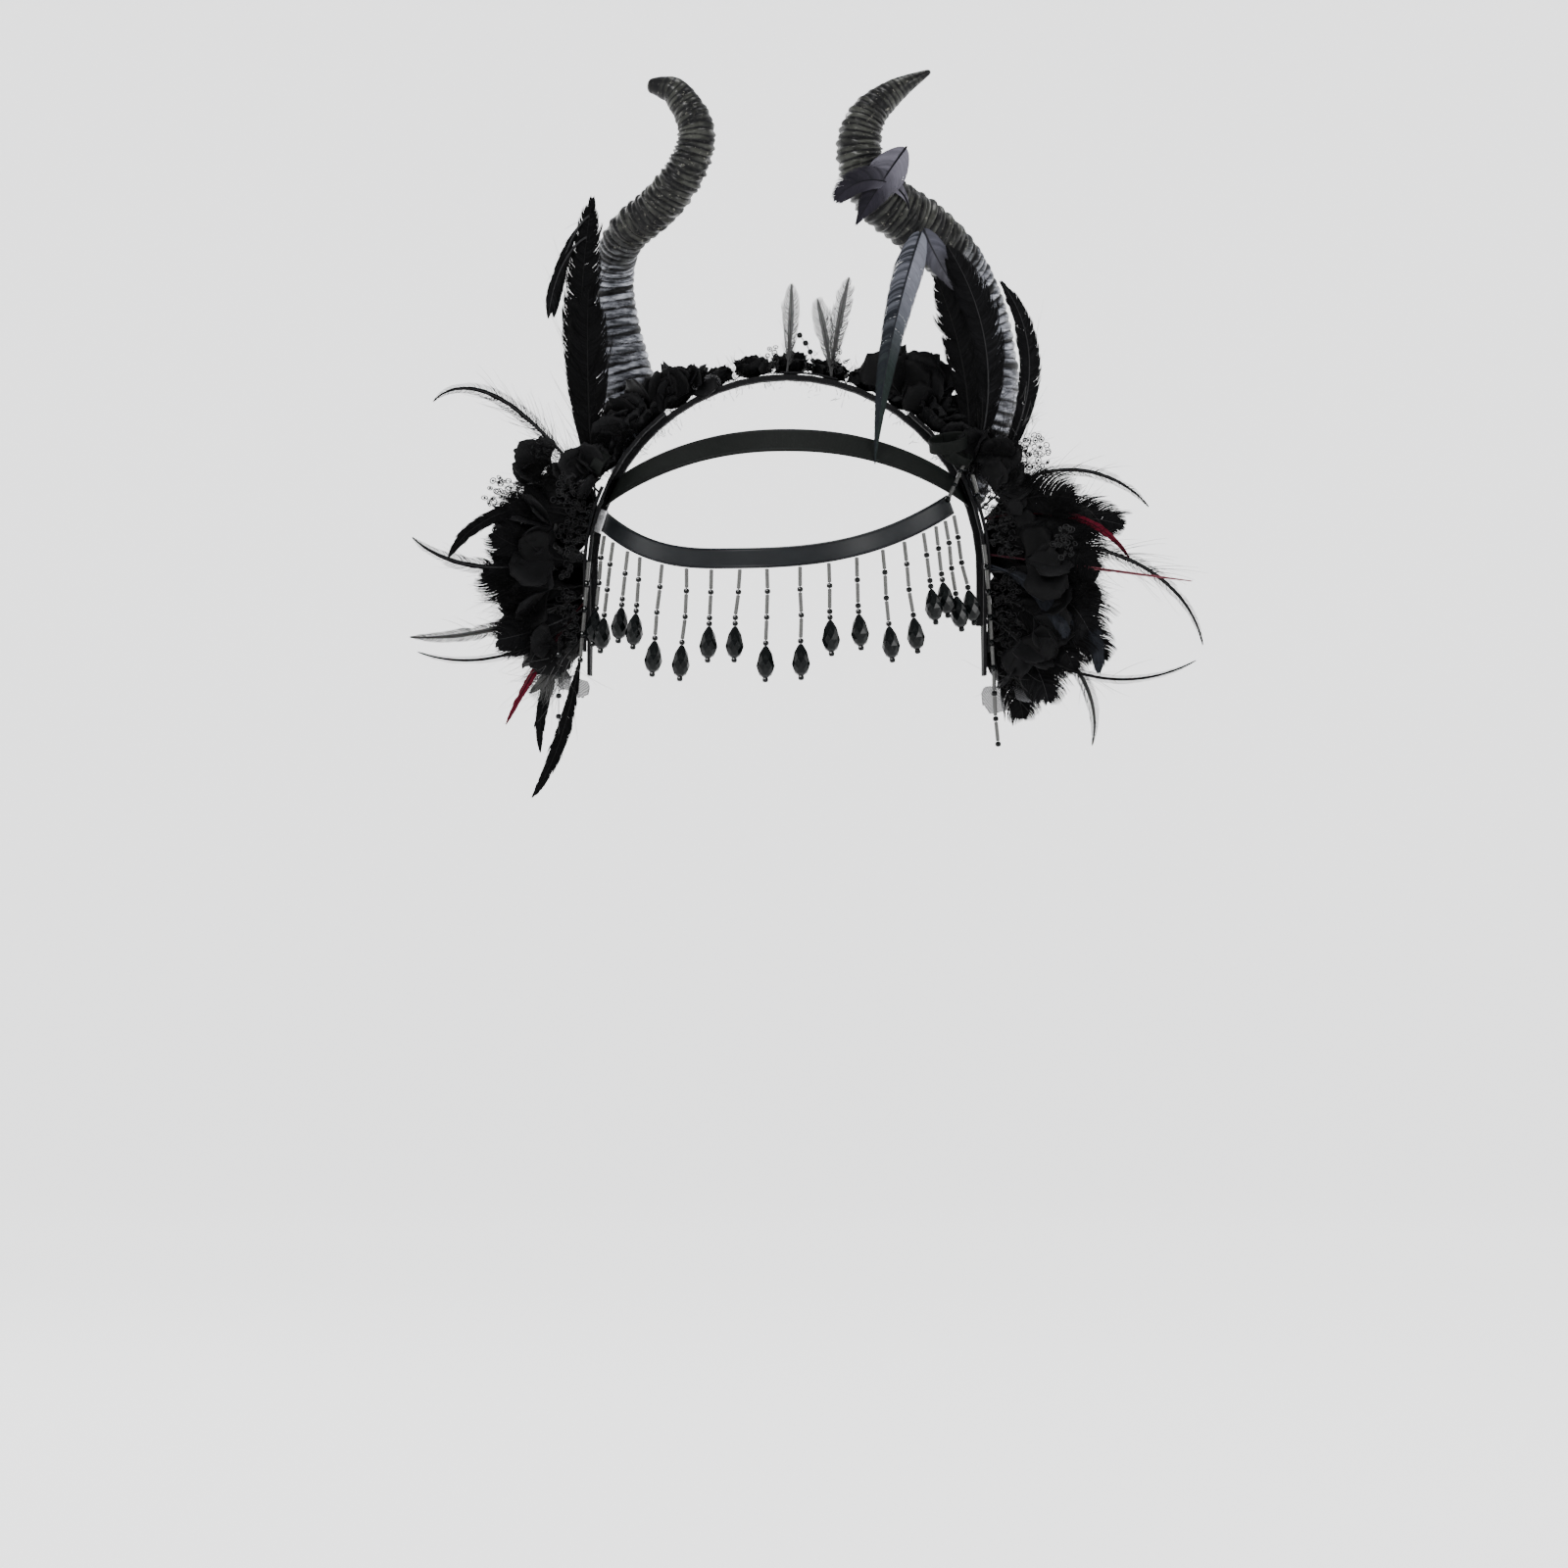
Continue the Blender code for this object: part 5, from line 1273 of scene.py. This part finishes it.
def felt():
    """Matt black felt with matted fibres."""
    material, tree, shader = new_finish("felt", Specular_IOR_Level=0.15)
    place = object_place(tree)
    fibre = place.noise(900.0, 4.0, 0.7)
    cloud = place.noise(120.0, 2.0)
    drive(tree, shader, Base_Color=fibre.mix((0.004, 0.004, 0.0045), (0.014, 0.014, 0.015)),
          Roughness=0.78 + 0.16 * cloud, Normal=fibre.bump(0.6, 0.0008))
    return material


def strap_matt():
    """Dark green-grey grosgrain: fine ribs across the strap and a plain edge."""
    look = colours()
    material, tree, shader = new_finish("strap_matt", Specular_IOR_Level=0.10)
    along, across, _ = piece_map(tree).axes()
    rib = (along * 9500.0).sine() * 0.5 + 0.5
    cloud = object_place(tree).noise(90.0, 3.0)
    weft = (across * 11000.0).sine() * 0.5 + 0.5
    shade = cloud.mix(look.strap_dark, look.strap_pale)
    drive(tree, shader, Base_Color=shade.scaled(0.82 + 0.24 * rib + 0.08 * weft),
          Roughness=0.50 + 0.14 * cloud, Normal=(rib + 0.4 * weft).bump(0.20, 0.0003))
    return material


def strap_satin():
    """Slate satin ribbon: fine lengthwise threads and a soft broken gloss."""
    look = colours()
    material, tree, shader = new_finish("strap_satin", Specular_IOR_Level=0.30)
    _, across, _ = piece_map(tree).axes()
    thread = (across * 15000.0).sine() * 0.5 + 0.5
    cloud = piece_map(tree).stretched((60.0, 160.0, 1.0)).noise(1.0, 2.0)
    shade = cloud.mix(look.satin_dark, look.satin_pale)
    drive(tree, shader, Base_Color=shade.scaled(0.85 + 0.2 * thread), Roughness=0.26 + 0.20 * cloud,
          Normal=(0.3 * thread + cloud).bump(0.12, 0.0004))
    return material


def jet_glass():
    """Black glass and grey lined bugles: the tint, a hard gloss and small flaws."""
    material, tree, shader = new_finish("jet_glass", Specular_IOR_Level=0.22, Coat_Roughness=0.03)
    grey, _, _ = tint_of(tree).axes()
    place = object_place(tree)
    flaw = place.noise(800.0, 2.0)
    lined = (grey * 4.0).clip()
    drive(tree, shader, Base_Color=tint_of(tree).scaled(0.6 + 0.8 * flaw),
          Roughness=0.06 + 0.20 * flaw * lined, Metallic=0.75 * lined, Coat_Weight=0.35 * lined)
    return material


def clip_steel():
    """Brushed plated steel with fine scratches across the clip."""
    material, tree, shader = new_finish("clip_steel", Metallic=1.0)
    scratch = object_place(tree).stretched((500.0, 500.0, 4000.0)).noise(1.0, 3.0)
    drive(tree, shader, Base_Color=scratch.mix((0.55, 0.55, 0.56), (0.86, 0.86, 0.87)),
          Roughness=0.18 + 0.24 * scratch, Normal=scratch.bump(0.1, 0.0002))
    return material


def lace_thread():
    """Matt black twisted thread with a little shine."""
    material, tree, shader = new_finish("lace_thread", Specular_IOR_Level=0.3)
    twist = object_place(tree).noise(2400.0, 2.0)
    drive(tree, shader, Base_Color=tint_of(tree).scaled(0.6 + 0.9 * twist), Roughness=0.34 + 0.3 * twist)
    return material


FINISHES = {}


def finish(recipe):
    """Each finish is made once and shared."""
    if recipe.__name__ not in FINISHES:
        FINISHES[recipe.__name__] = recipe()
    return FINISHES[recipe.__name__]


def silver_start(row):
    """Where a silver feather is tied, just behind the right horn."""
    middle, radius = horn_spots(HORN_RIGHT, HORN_TURN_RIGHT, HORN_HEIGHT_RIGHT, np.array([row.turn]))
    return middle[0] + (radius[0] + FEATHER_THICK / 2 + QUILL_SEAT) * BEHIND


def drop_frame(x):
    """Point on the lower strap's middle line at x, with its outward and upward directions."""
    xs = np.array([x, x + 0.0005])
    zs = lower_strap_height(xs)
    points = np.stack([xs, -head_depth(xs, zs), zs], axis=-1)
    outward = head_normal(points)[0]
    upward = unit(np.cross(outward, unit(points[1] - points[0])))
    return points[0], outward, upward * np.sign(upward[2])


def thickened(obj, thick):
    """Gives a single surface its thickness, to both sides."""
    wall = obj.modifiers.new("cloth", "SOLIDIFY")
    wall.thickness = thick
    wall.offset = 0.0


def crimp(shape):
    """Pressed metal end over the lower ribbon: a rounded box as sign(cos) |cos| ** 0.35 round
    two angles, dented across by three shallow grooves."""
    left, _ = lower_strap_ends()
    point, outward, upward = drop_frame(left[0] + (LOWER_STRAP_LOWEST - left[0]) * 0.03)
    facing = unit(outward + CRIMP_TURN * BEHIND)
    upward = unit(upward - facing * np.dot(upward, facing))
    along = np.cross(upward, facing)
    high = np.linspace(-np.pi / 2, np.pi / 2, 41)[:, None]
    turn = np.arange(CRIMP_SIDES)[None] * 2 * np.pi / CRIMP_SIDES

    def squared(value):
        """Sine or cosine pushed towards 1 and -1, which squares the section."""
        return np.sign(value) * np.abs(value) ** CRIMP_SQUARE

    dents = ((np.sin(high)[..., None] - np.array([-0.5, 0.0, 0.5])) / 0.10) ** 2
    groove = 1.0 - 0.14 * np.exp(-dents).sum(-1)
    ring = squared(np.cos(high))
    half_wide, half_long, half_thick = CLIP_WIDTH * 0.62, CLIP_LENGTH * 0.5, CLIP_WALL * 1.3
    middle = point + outward * (STRAP_RAISE + STRAP_THICK + CLIP_WALL * 1.6)
    points = (middle + along * (half_wide * ring * squared(np.cos(turn)))[..., None]
              + facing * (half_thick * groove * ring * squared(np.sin(turn)))[..., None]
              + upward * (half_long * squared(np.sin(high)) + 0 * turn)[..., None])
    shape.add_skin(points[1:-1])


def ribbon_loop(shape, centre, across, upright, radii, width):
    """Ribbon bent in a standing loop: centre + across * cos + upright * sin."""
    angle = np.linspace(LOOP_GAP, 2 * np.pi - LOOP_GAP, 70)
    across, upright = unit(np.asarray(across, dtype=float)), unit(np.asarray(upright, dtype=float))
    points = (np.asarray(centre) + across * (radii[0] * np.cos(angle))[:, None]
              + upright * (radii[1] * np.sin(angle))[:, None])
    side = unit(np.cross(across, upright))
    outward = unit(across * np.cos(angle)[:, None] + upright * np.sin(angle)[:, None])
    ribbon(shape, points, outward, np.broadcast_to(side, points.shape), width, STRAP_THICK * 0.5, 0.0)


def clothe(names, material):
    """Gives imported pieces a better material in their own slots."""
    for name in names:
        obj = bpy.data.objects[name]
        obj.data.materials.clear()
        obj.data.materials.append(material)


def length_prop(name, description, default):
    """A length in metres for the panel."""
    return bpy.props.FloatProperty(
        name=name, description=description, default=default, unit="LENGTH", precision=5, min=0.0)


class HeadbandSizes(bpy.types.PropertyGroup):
    """Sizes of the fine work, in metres."""
    horn_sides: bpy.props.IntProperty(
        name="Horn sides", description="Points round a horn", default=64, min=12)
    horn_rows: bpy.props.IntProperty(
        name="Horn rows", description="Points along a horn", default=540, min=60)
    rib_pitch_foot: length_prop("Foot rib pitch", "From rib to rib on the lower horn", 0.0045)
    rib_pitch_tip: length_prop("Tip rib pitch", "From rib to rib on the upper horn", 0.0026)
    rib_relief: bpy.props.FloatProperty(
        name="Rib relief", description="Height of a rib as a share of the radius", default=0.13)
    barb_pitch: length_prop("Barb pitch", "From barb to barb on a feather", 0.00042)
    vane_fullness: bpy.props.FloatProperty(
        name="Vane fullness", description="Share of its full width that each vane reaches", default=1.0)
    filament_width: length_prop("Filament width", "Width of a loose feather filament", 0.00026)
    petal_thick: length_prop("Petal thickness", "Thickness of the flower silk", 0.0003)
    lace_wire: length_prop("Lace thread", "Width of the thread in the lace", 0.00048)
    seed: bpy.props.IntProperty(name="Seed", description="Start of the random draws", default=7, min=0)


def colour_prop(name, description, default):
    """A colour for the panel."""
    return bpy.props.FloatVectorProperty(
        name=name, description=description, default=default, subtype="COLOR", size=3, min=0.0, max=1.0)


class HeadbandColours(bpy.types.PropertyGroup):
    """Colours of the paint and the ribbons."""
    horn_dark: colour_prop("Horn dark", "Paint in the grooves", (0.004, 0.004, 0.0045))
    # Silver, pale, olive and moss crest colours: dry-brushed paint with painted highlight; pale and moss
    # carry the brightest painted highlight.
    horn_silver: colour_prop("Horn silver", "Brushed crests of the lower horn", (0.055, 0.058, 0.068))
    horn_pale_paint_and_highlight: colour_prop("Horn pale", "Brightest brushed crests", (0.70, 0.72, 0.80))
    horn_olive: colour_prop("Horn olive", "Brushed crests of the upper horn", (0.003, 0.0031, 0.0027))
    horn_moss_paint_and_highlight: colour_prop("Horn moss", "Paler crests of the upper horn", (0.050, 0.052, 0.043))
    horn_fleck: colour_prop("Horn fleck", "Light flecks on the upper horn", (0.24, 0.235, 0.20))
    strap_dark: colour_prop("Strap dark", "Shade of the upper ribbon", (0.005, 0.0058, 0.0052))
    strap_pale: colour_prop("Strap pale", "Light tone of the upper ribbon", (0.010, 0.0118, 0.0104))
    satin_dark: colour_prop("Satin dark", "Shade of the lower ribbon", (0.003, 0.0038, 0.0045))
    satin_pale: colour_prop("Satin pale", "Light tone of the lower ribbon", (0.008, 0.0105, 0.013))


def draws(number):
    """Random draws of one piece, the same on every run."""
    return np.random.default_rng(sizes().seed * 100 + number)


class HEADBAND_OT_band(bpy.types.Operator):
    """Felt on the band and on its two stiff side patches"""
    bl_idname = "headband.band"
    bl_label = "Band and side patches"

    def execute(self, context):
        clothe(["band", "backing_left", "backing_right"], finish(felt))
        return {"FINISHED"}


class HEADBAND_OT_horns(bpy.types.Operator):
    """Two ribbed horns with dry-brushed paint and painted highlights on the crests"""
    bl_idname = "headband.horns"
    bl_label = "Horns"

    def execute(self, context):
        for side, rows, turn, height, blunt, number in (
                ("left", HORN_LEFT, HORN_TURN_LEFT, HORN_HEIGHT_LEFT, 0.030, 1),
                ("right", HORN_RIGHT, HORN_TURN_RIGHT, HORN_HEIGHT_RIGHT, 0.012, 2)):
            shape = Shape()
            horn_surface(shape, draws(number), rows, turn, height, blunt)
            shape.piece("ribbed_horn_" + side, finish(horn_paint), "horn_paint", ["horn_" + side])
        return {"FINISHED"}


class HEADBAND_OT_flowers(bpy.types.Operator):
    """Gathered silk flowers: the crown row, the horn feet and the side clusters"""
    bl_idname = "headband.flowers"
    bl_label = "Flowers"

    def execute(self, context):
        groups = (
            ("crown_rosette_%d", CROWN_ROSETTES, BAND_OUTER, ROSETTE_TIERS, 10),
            ("foot_rosette_left_%d", FOOT_LEFT, BACKING_OUTER, ROSETTE_TIERS, 20),
            ("foot_rosette_right_%d", FOOT_RIGHT, BACKING_OUTER, ROSETTE_TIERS, 30),
            ("side_rose_left_%d", SIDE_LEFT, BACKING_OUTER, ROSE_TIERS, 40),
            ("side_rose_right_%d", SIDE_RIGHT, BACKING_OUTER, ROSE_TIERS, 50),
        )
        for pattern, rows, seat, tiers, number in groups:
            for index, row in enumerate(rows, start=1):
                shape = Shape()
                flower(shape, draws(number + index), row, seat, tiers, FLOWER_BASE)
                name = pattern % index
                obj = shape.piece(name + "_silk", finish(petal_silk), "silk", [name])
                thickened(obj, sizes().petal_thick)
        return {"FINISHED"}


class HEADBAND_OT_feathers(bpy.types.Operator):
    """Feathers of both clusters, barb by barb, on their tapes"""
    bl_idname = "headband.feathers"
    bl_label = "Feather sprays"

    def execute(self, context):
        shape, rng = Shape(), draws(60)
        rows = [TALL_LEFT, *SPRAY_LEFT, TALL_LEFT_DOWN, *COVER_LEFT]
        lines = spray(shape, rng, -1, rows, -TAPE_END_TURN, -66)
        shares, _, _, points = lines[0]
        for row in FOLDED_TOP:
            start = read_line(shares, points, np.array([row.turn]))[0]
            feather(shape, rng, start, -1, row)
        shape.piece("left_feathers", finish(feather_vane), "black_feather", ["feather_spray_left"])
        shape, rng = Shape(), draws(61)
        spray(shape, rng, 1, SPRAY_RIGHT + COVER_RIGHT, 69, TAPE_END_TURN)
        shape.piece("right_feathers", finish(feather_vane), "black_feather", ["feather_spray_right"])
        shape, rng = Shape(), draws(62)
        spray(shape, rng, 1, TALL_RIGHT, 62.5, 68.5)
        shape.piece("tall_black_feathers", finish(feather_vane), "black_feather", ["tall_feathers_right"])
        return {"FINISHED"}


class HEADBAND_OT_silver_feathers(bpy.types.Operator):
    """Two silver feathers tied to the right horn, and the pale wisps on the crown"""
    bl_idname = "headband.silver_feathers"
    bl_label = "Silver feathers and wisps"

    def execute(self, context):
        for name, node, number, row, other, start in (
                ("curled_silver_vane", "silver_feather_curled", 63,
                 SILVER_CURLED, HORN_VANE, np.array(HORN_VANE_START)),
                ("long_silver_vane", "silver_feather_long", 64,
                 SILVER_LONG, SHORT_VANE, silver_start(SHORT_VANE))):
            shape, rng = Shape(), draws(number)
            feather(shape, rng, silver_start(row), 1, row)
            feather(shape, rng, start, 1, other)
            shape.piece(name, finish(feather_vane), "grey_feather", [node])
        shape, rng = Shape(), draws(65)
        setback = (WISP_TAPE - BAND_WIDTH) / 2
        tape(shape, BAND_OUTER + GAP, WISP_TAPE / 2, setback, WISP_TAPE, -2, 15)
        for row in CROWN_WISPS:
            feather(shape, rng, arch_point(row.turn, BAND_OUTER + GAP + WISP_TAPE / 4, setback), 1, row)
        shape.piece("crown_wisps", finish(feather_vane), "grey_feather", ["crown_feathers"])
        return {"FINISHED"}


class HEADBAND_OT_straps(bpy.types.Operator):
    """Matt upper ribbon, satin lower ribbon and the steel clip on its end"""
    bl_idname = "headband.straps"
    bl_label = "Ribbons and clip"

    def execute(self, context):
        end_x = rim_point(UPPER_STRAP_TURN)[0]
        shape = Shape()
        line = strap_line(upper_strap_height, -end_x, end_x, 160)
        ribbon(shape, *line, UPPER_STRAP_WIDTH, STRAP_THICK, STRAP_RAISE)
        shape.piece("upper_ribbon", finish(strap_matt), "upper_cloth", ["upper_strap"])
        left, right = lower_strap_ends()
        shape = Shape()
        line = strap_line(lower_strap_height, left[0], right[0], 160)
        ribbon(shape, *line, LOWER_STRAP_WIDTH, STRAP_THICK, STRAP_RAISE)
        shape.piece("lower_ribbon", finish(strap_satin), "lower_cloth", ["lower_strap"])
        shape = Shape()
        crimp(shape)
        shape.piece("ribbon_crimp", finish(clip_steel), "steel", ["strap_clip"])
        return {"FINISHED"}


class HEADBAND_OT_ribbon_loops(bpy.types.Operator):
    """Loops of the matt ribbon where it is tied by each backing"""
    bl_idname = "headband.ribbon_loops"
    bl_label = "Ribbon loops"

    def execute(self, context):
        shape = Shape()
        for row in LOOPS:
            ribbon_loop(shape, *row)
        shape.piece("tied_ribbon_loops", finish(strap_matt), "upper_cloth")
        return {"FINISHED"}


class HEADBAND_OT_beads(bpy.types.Operator):
    """Fringe of eighteen bead drops, and the strings that hang behind each cluster"""
    bl_idname = "headband.beads"
    bl_label = "Bead fringe and strings"

    def execute(self, context):
        left, right = lower_strap_ends()
        long_kinds = ["bugle", "bead"] * 3 + ["drop"]
        short_kinds = ["bugle", "bead", "bugle", "bead", "bead", "drop"]
        hang = -BACKING_BACK - GAP - BEAD_RADIUS
        middle = (BACKING_INNER + BACKING_OUTER) / 2
        for number, row in enumerate(DROPS, start=1):
            x = row.across * (abs(left[0]) if row.across < 0 else right[0])
            point, outward, upward = drop_frame(x)
            top = (point + outward * (STRAP_RAISE + DROP_STAND_OFF)
                   - upward * (LOWER_STRAP_WIDTH / 2 + GAP))
            lean = math.radians(DROP_LEAN_LEFT if x < 0 else DROP_LEAN_RIGHT) * x / right[0]
            direction = np.array([math.sin(lean), -0.04, -math.cos(lean)])
            shape = Shape()
            strand(shape, draws(100 + number), long_kinds if row.long_drop else short_kinds, top, direction)
            shape.piece("fringe_%02d" % number, finish(jet_glass), "jet", ["drop_%02d" % number],
                        smooth=False)
        shape, rng = Shape(), draws(150)
        for start, end in TIES:
            start, end = np.array(start), np.array(end)
            pairs = max(int(np.linalg.norm(end - start) / (BUGLE_LENGTH + BEAD_LENGTH)), 1)
            strand(shape, rng, ["bugle", "bead"] * pairs, start, end - start, 0.5)
        shape.piece("tie_strings", finish(jet_glass), "jet", smooth=False)
        shape = Shape()
        kinds = ["thread"] + ["bead", "thread"] * 4
        strand(shape, draws(151), kinds, ROUND_STRING_TOP, (0.0, 0.0, -1.0), 0.3)
        shape.piece("round_bead_string", finish(jet_glass), "jet", smooth=False)
        for side, turn, lean, pairs in (("left", -88, -0.08, 4), ("right", 83, 0.08, 8)):
            shape = Shape()
            strand(shape, draws(130 + pairs), ["bugle", "bead"] * pairs, arch_point(turn, middle, hang),
                   (lean, 0.0, -1.0))
            shape.piece("string_" + side, finish(jet_glass), "jet", ["bead_strand_" + side], smooth=False)
        return {"FINISHED"}


class HEADBAND_OT_trims(bpy.types.Operator):
    """Loose petals, lace loops, down tufts and the crown's beads on a wire"""
    bl_idname = "headband.trims"
    bl_label = "Petals, lace and down"

    def execute(self, context):
        rng = draws(200)
        silk, sheer = Shape(), Shape()
        for row in PETALS:
            group, tint = (sheer, SHEER_GREY) if row.sheer else (silk, SILK_DARK)
            loose_petal(group, rng, row, tint, 2 if row.sheer or abs(row.turn) < 26 else 5)
        thickened(silk.piece("loose_petals", finish(petal_silk), "silk"), sizes().petal_thick)
        thickened(sheer.piece("sheer_petals", finish(petal_sheer), "silk"), sizes().petal_thick)
        shape, rng = Shape(), draws(201)
        for row in LACE_PATCHES:
            lace_loops(shape, rng, row)
        shape.piece("lace_loops", finish(lace_thread), "silk")
        shape, rng = Shape(), draws(202)
        for row in TUFTS:
            tuft(shape, rng, row)
        shape.piece("down_tufts", finish(feather_vane), "black_feather")
        shape = Shape()
        rows = [(row.turn, row.out, row.size) for row in CROWN_SEEDS]
        turns, outs, scale = np.array(rows).T
        spots = arch_point(turns, outs, -0.004)
        for spot, size in zip(spots, scale):
            turned(shape, bead_profile(BEAD_RADIUS * size, BEAD_LENGTH * size), 12, [spot],
                   [spots[0] - spots[-1]], JET_DARK, closed=True)
        foot = arch_point(turns[-1], BAND_OUTER, -0.004)
        tube(shape, np.vstack([spots, foot]), 0.0002, 6, THREAD_DARK)
        shape.piece("crown_beads", finish(jet_glass), "jet")
        return {"FINISHED"}


def paper(name, colour, glow):
    """Plain matt backdrop paper with the faintest mottle. Its glow grows along +Y, so the far
    paper stays pale and the near paper adds little light."""
    material, tree, shader = new_finish(name, Roughness=0.9, Emission_Strength=glow)
    mottle = object_place(tree).noise(6.0, 2.0)
    _, depth, _ = object_place(tree).axes()
    behind = (depth * 0.8 + 0.4).clip()
    drive(tree, shader, Base_Color=mottle.mix(tuple(0.985 * value for value in colour), colour),
          Emission_Color=behind.mix((0.16, 0.16, 0.16), (1.0, 1.0, 1.0)))
    return material


def soft_light(row):
    """Round soft light turned to the middle of the headband."""
    light = bpy.data.lights.new(row.name, "AREA")
    light.shape = "DISK"
    light.size = row.size
    light.energy = row.power
    obj = bpy.data.objects.new(row.name, light)
    obj.location = row.spot
    toward = np.asarray(row.spot, dtype=float) - np.asarray(LIGHT_AIM)
    flat = math.hypot(toward[0], toward[1])
    obj.rotation_euler = (math.atan2(flat, toward[2]), 0.0, math.atan2(toward[0], -toward[1]))
    bpy.context.scene.collection.objects.link(obj)


class HEADBAND_OT_stage(bpy.types.Operator):
    """Pale round floor that rises far out, soft lights, an even sky and the camera"""
    bl_idname = "headband.stage"
    bl_label = "Stage"

    def execute(self, context):
        rows, columns = 60, 96
        reach = np.linspace(0.0, FLOOR_REACH, rows)[:, None]
        lift = FLOOR_RISE * ease(reach, FLOOR_FLAT, FLOOR_REACH)
        angle = np.arange(columns)[None] * 2 * np.pi / columns
        reach = np.maximum(reach, 0.001)
        points = np.stack(np.broadcast_arrays(reach * np.cos(angle), reach * np.sin(angle),
                                              lift - FLOOR_DROP), axis=-1)
        mesh = bpy.data.meshes.new("floor")
        faces = grid_faces(rows, columns, wrap_columns=True).tolist()
        mesh.from_pydata(points.reshape(-1, 3).tolist(), [], faces + [list(range(columns))[::-1]])
        mesh.polygons.foreach_set("use_smooth", np.full(len(mesh.polygons), True))
        mesh.materials.append(paper("floor_paper", PAPER_GREY, PAPER_GLOW))
        floor = bpy.data.objects.new("floor", mesh)
        context.scene.collection.objects.link(floor)

        world = bpy.data.worlds.new("even_sky")
        world.use_nodes = True
        sky = world.node_tree.nodes["Background"].inputs
        sky["Color"].default_value = SKY_COLOUR
        sky["Strength"].default_value = SKY_STRENGTH
        context.scene.world = world
        for row in LIGHTS:
            soft_light(row)

        lens = bpy.data.cameras.new("camera")
        lens.lens = CAMERA_LENS
        lens.clip_end = 60.0
        camera = bpy.data.objects.new("camera", lens)
        camera.location = CAMERA_SPOT
        camera.rotation_euler = (math.radians(90.0), 0.0, 0.0)
        context.scene.collection.objects.link(camera)
        context.scene.camera = camera
        return {"FINISHED"}


PIECES = (HEADBAND_OT_band, HEADBAND_OT_horns, HEADBAND_OT_flowers, HEADBAND_OT_feathers,
          HEADBAND_OT_silver_feathers, HEADBAND_OT_straps, HEADBAND_OT_ribbon_loops, HEADBAND_OT_beads,
          HEADBAND_OT_trims, HEADBAND_OT_stage)


class HEADBAND_PT_panel(bpy.types.Panel):
    """Sizes, colours and the pieces in the order they are made"""
    bl_idname = "HEADBAND_PT_panel"
    bl_label = "Horn Headband"
    bl_space_type = "VIEW_3D"
    bl_region_type = "UI"
    bl_category = "Headband"

    def draw(self, context):
        layout = self.layout
        for group in (context.scene.headband_sizes, context.scene.headband_colours):
            column = layout.column(align=True)
            for name in group.__annotations__:
                column.prop(group, name)
        column = layout.column(align=True)
        for piece in PIECES:
            column.operator(piece.bl_idname)


CLASSES = (HeadbandSizes, HeadbandColours, *PIECES, HEADBAND_PT_panel)


def register():
    for item in CLASSES:
        bpy.utils.register_class(item)
    bpy.types.Scene.headband_sizes = bpy.props.PointerProperty(type=HeadbandSizes)
    bpy.types.Scene.headband_colours = bpy.props.PointerProperty(type=HeadbandColours)


def unregister():
    del bpy.types.Scene.headband_sizes
    del bpy.types.Scene.headband_colours
    for item in reversed(CLASSES):
        bpy.utils.unregister_class(item)


def main():
    register()
    for piece in PIECES:
        getattr(bpy.ops.headband, piece.bl_idname.split(".")[1])()


if __name__ == "__main__":
    main()
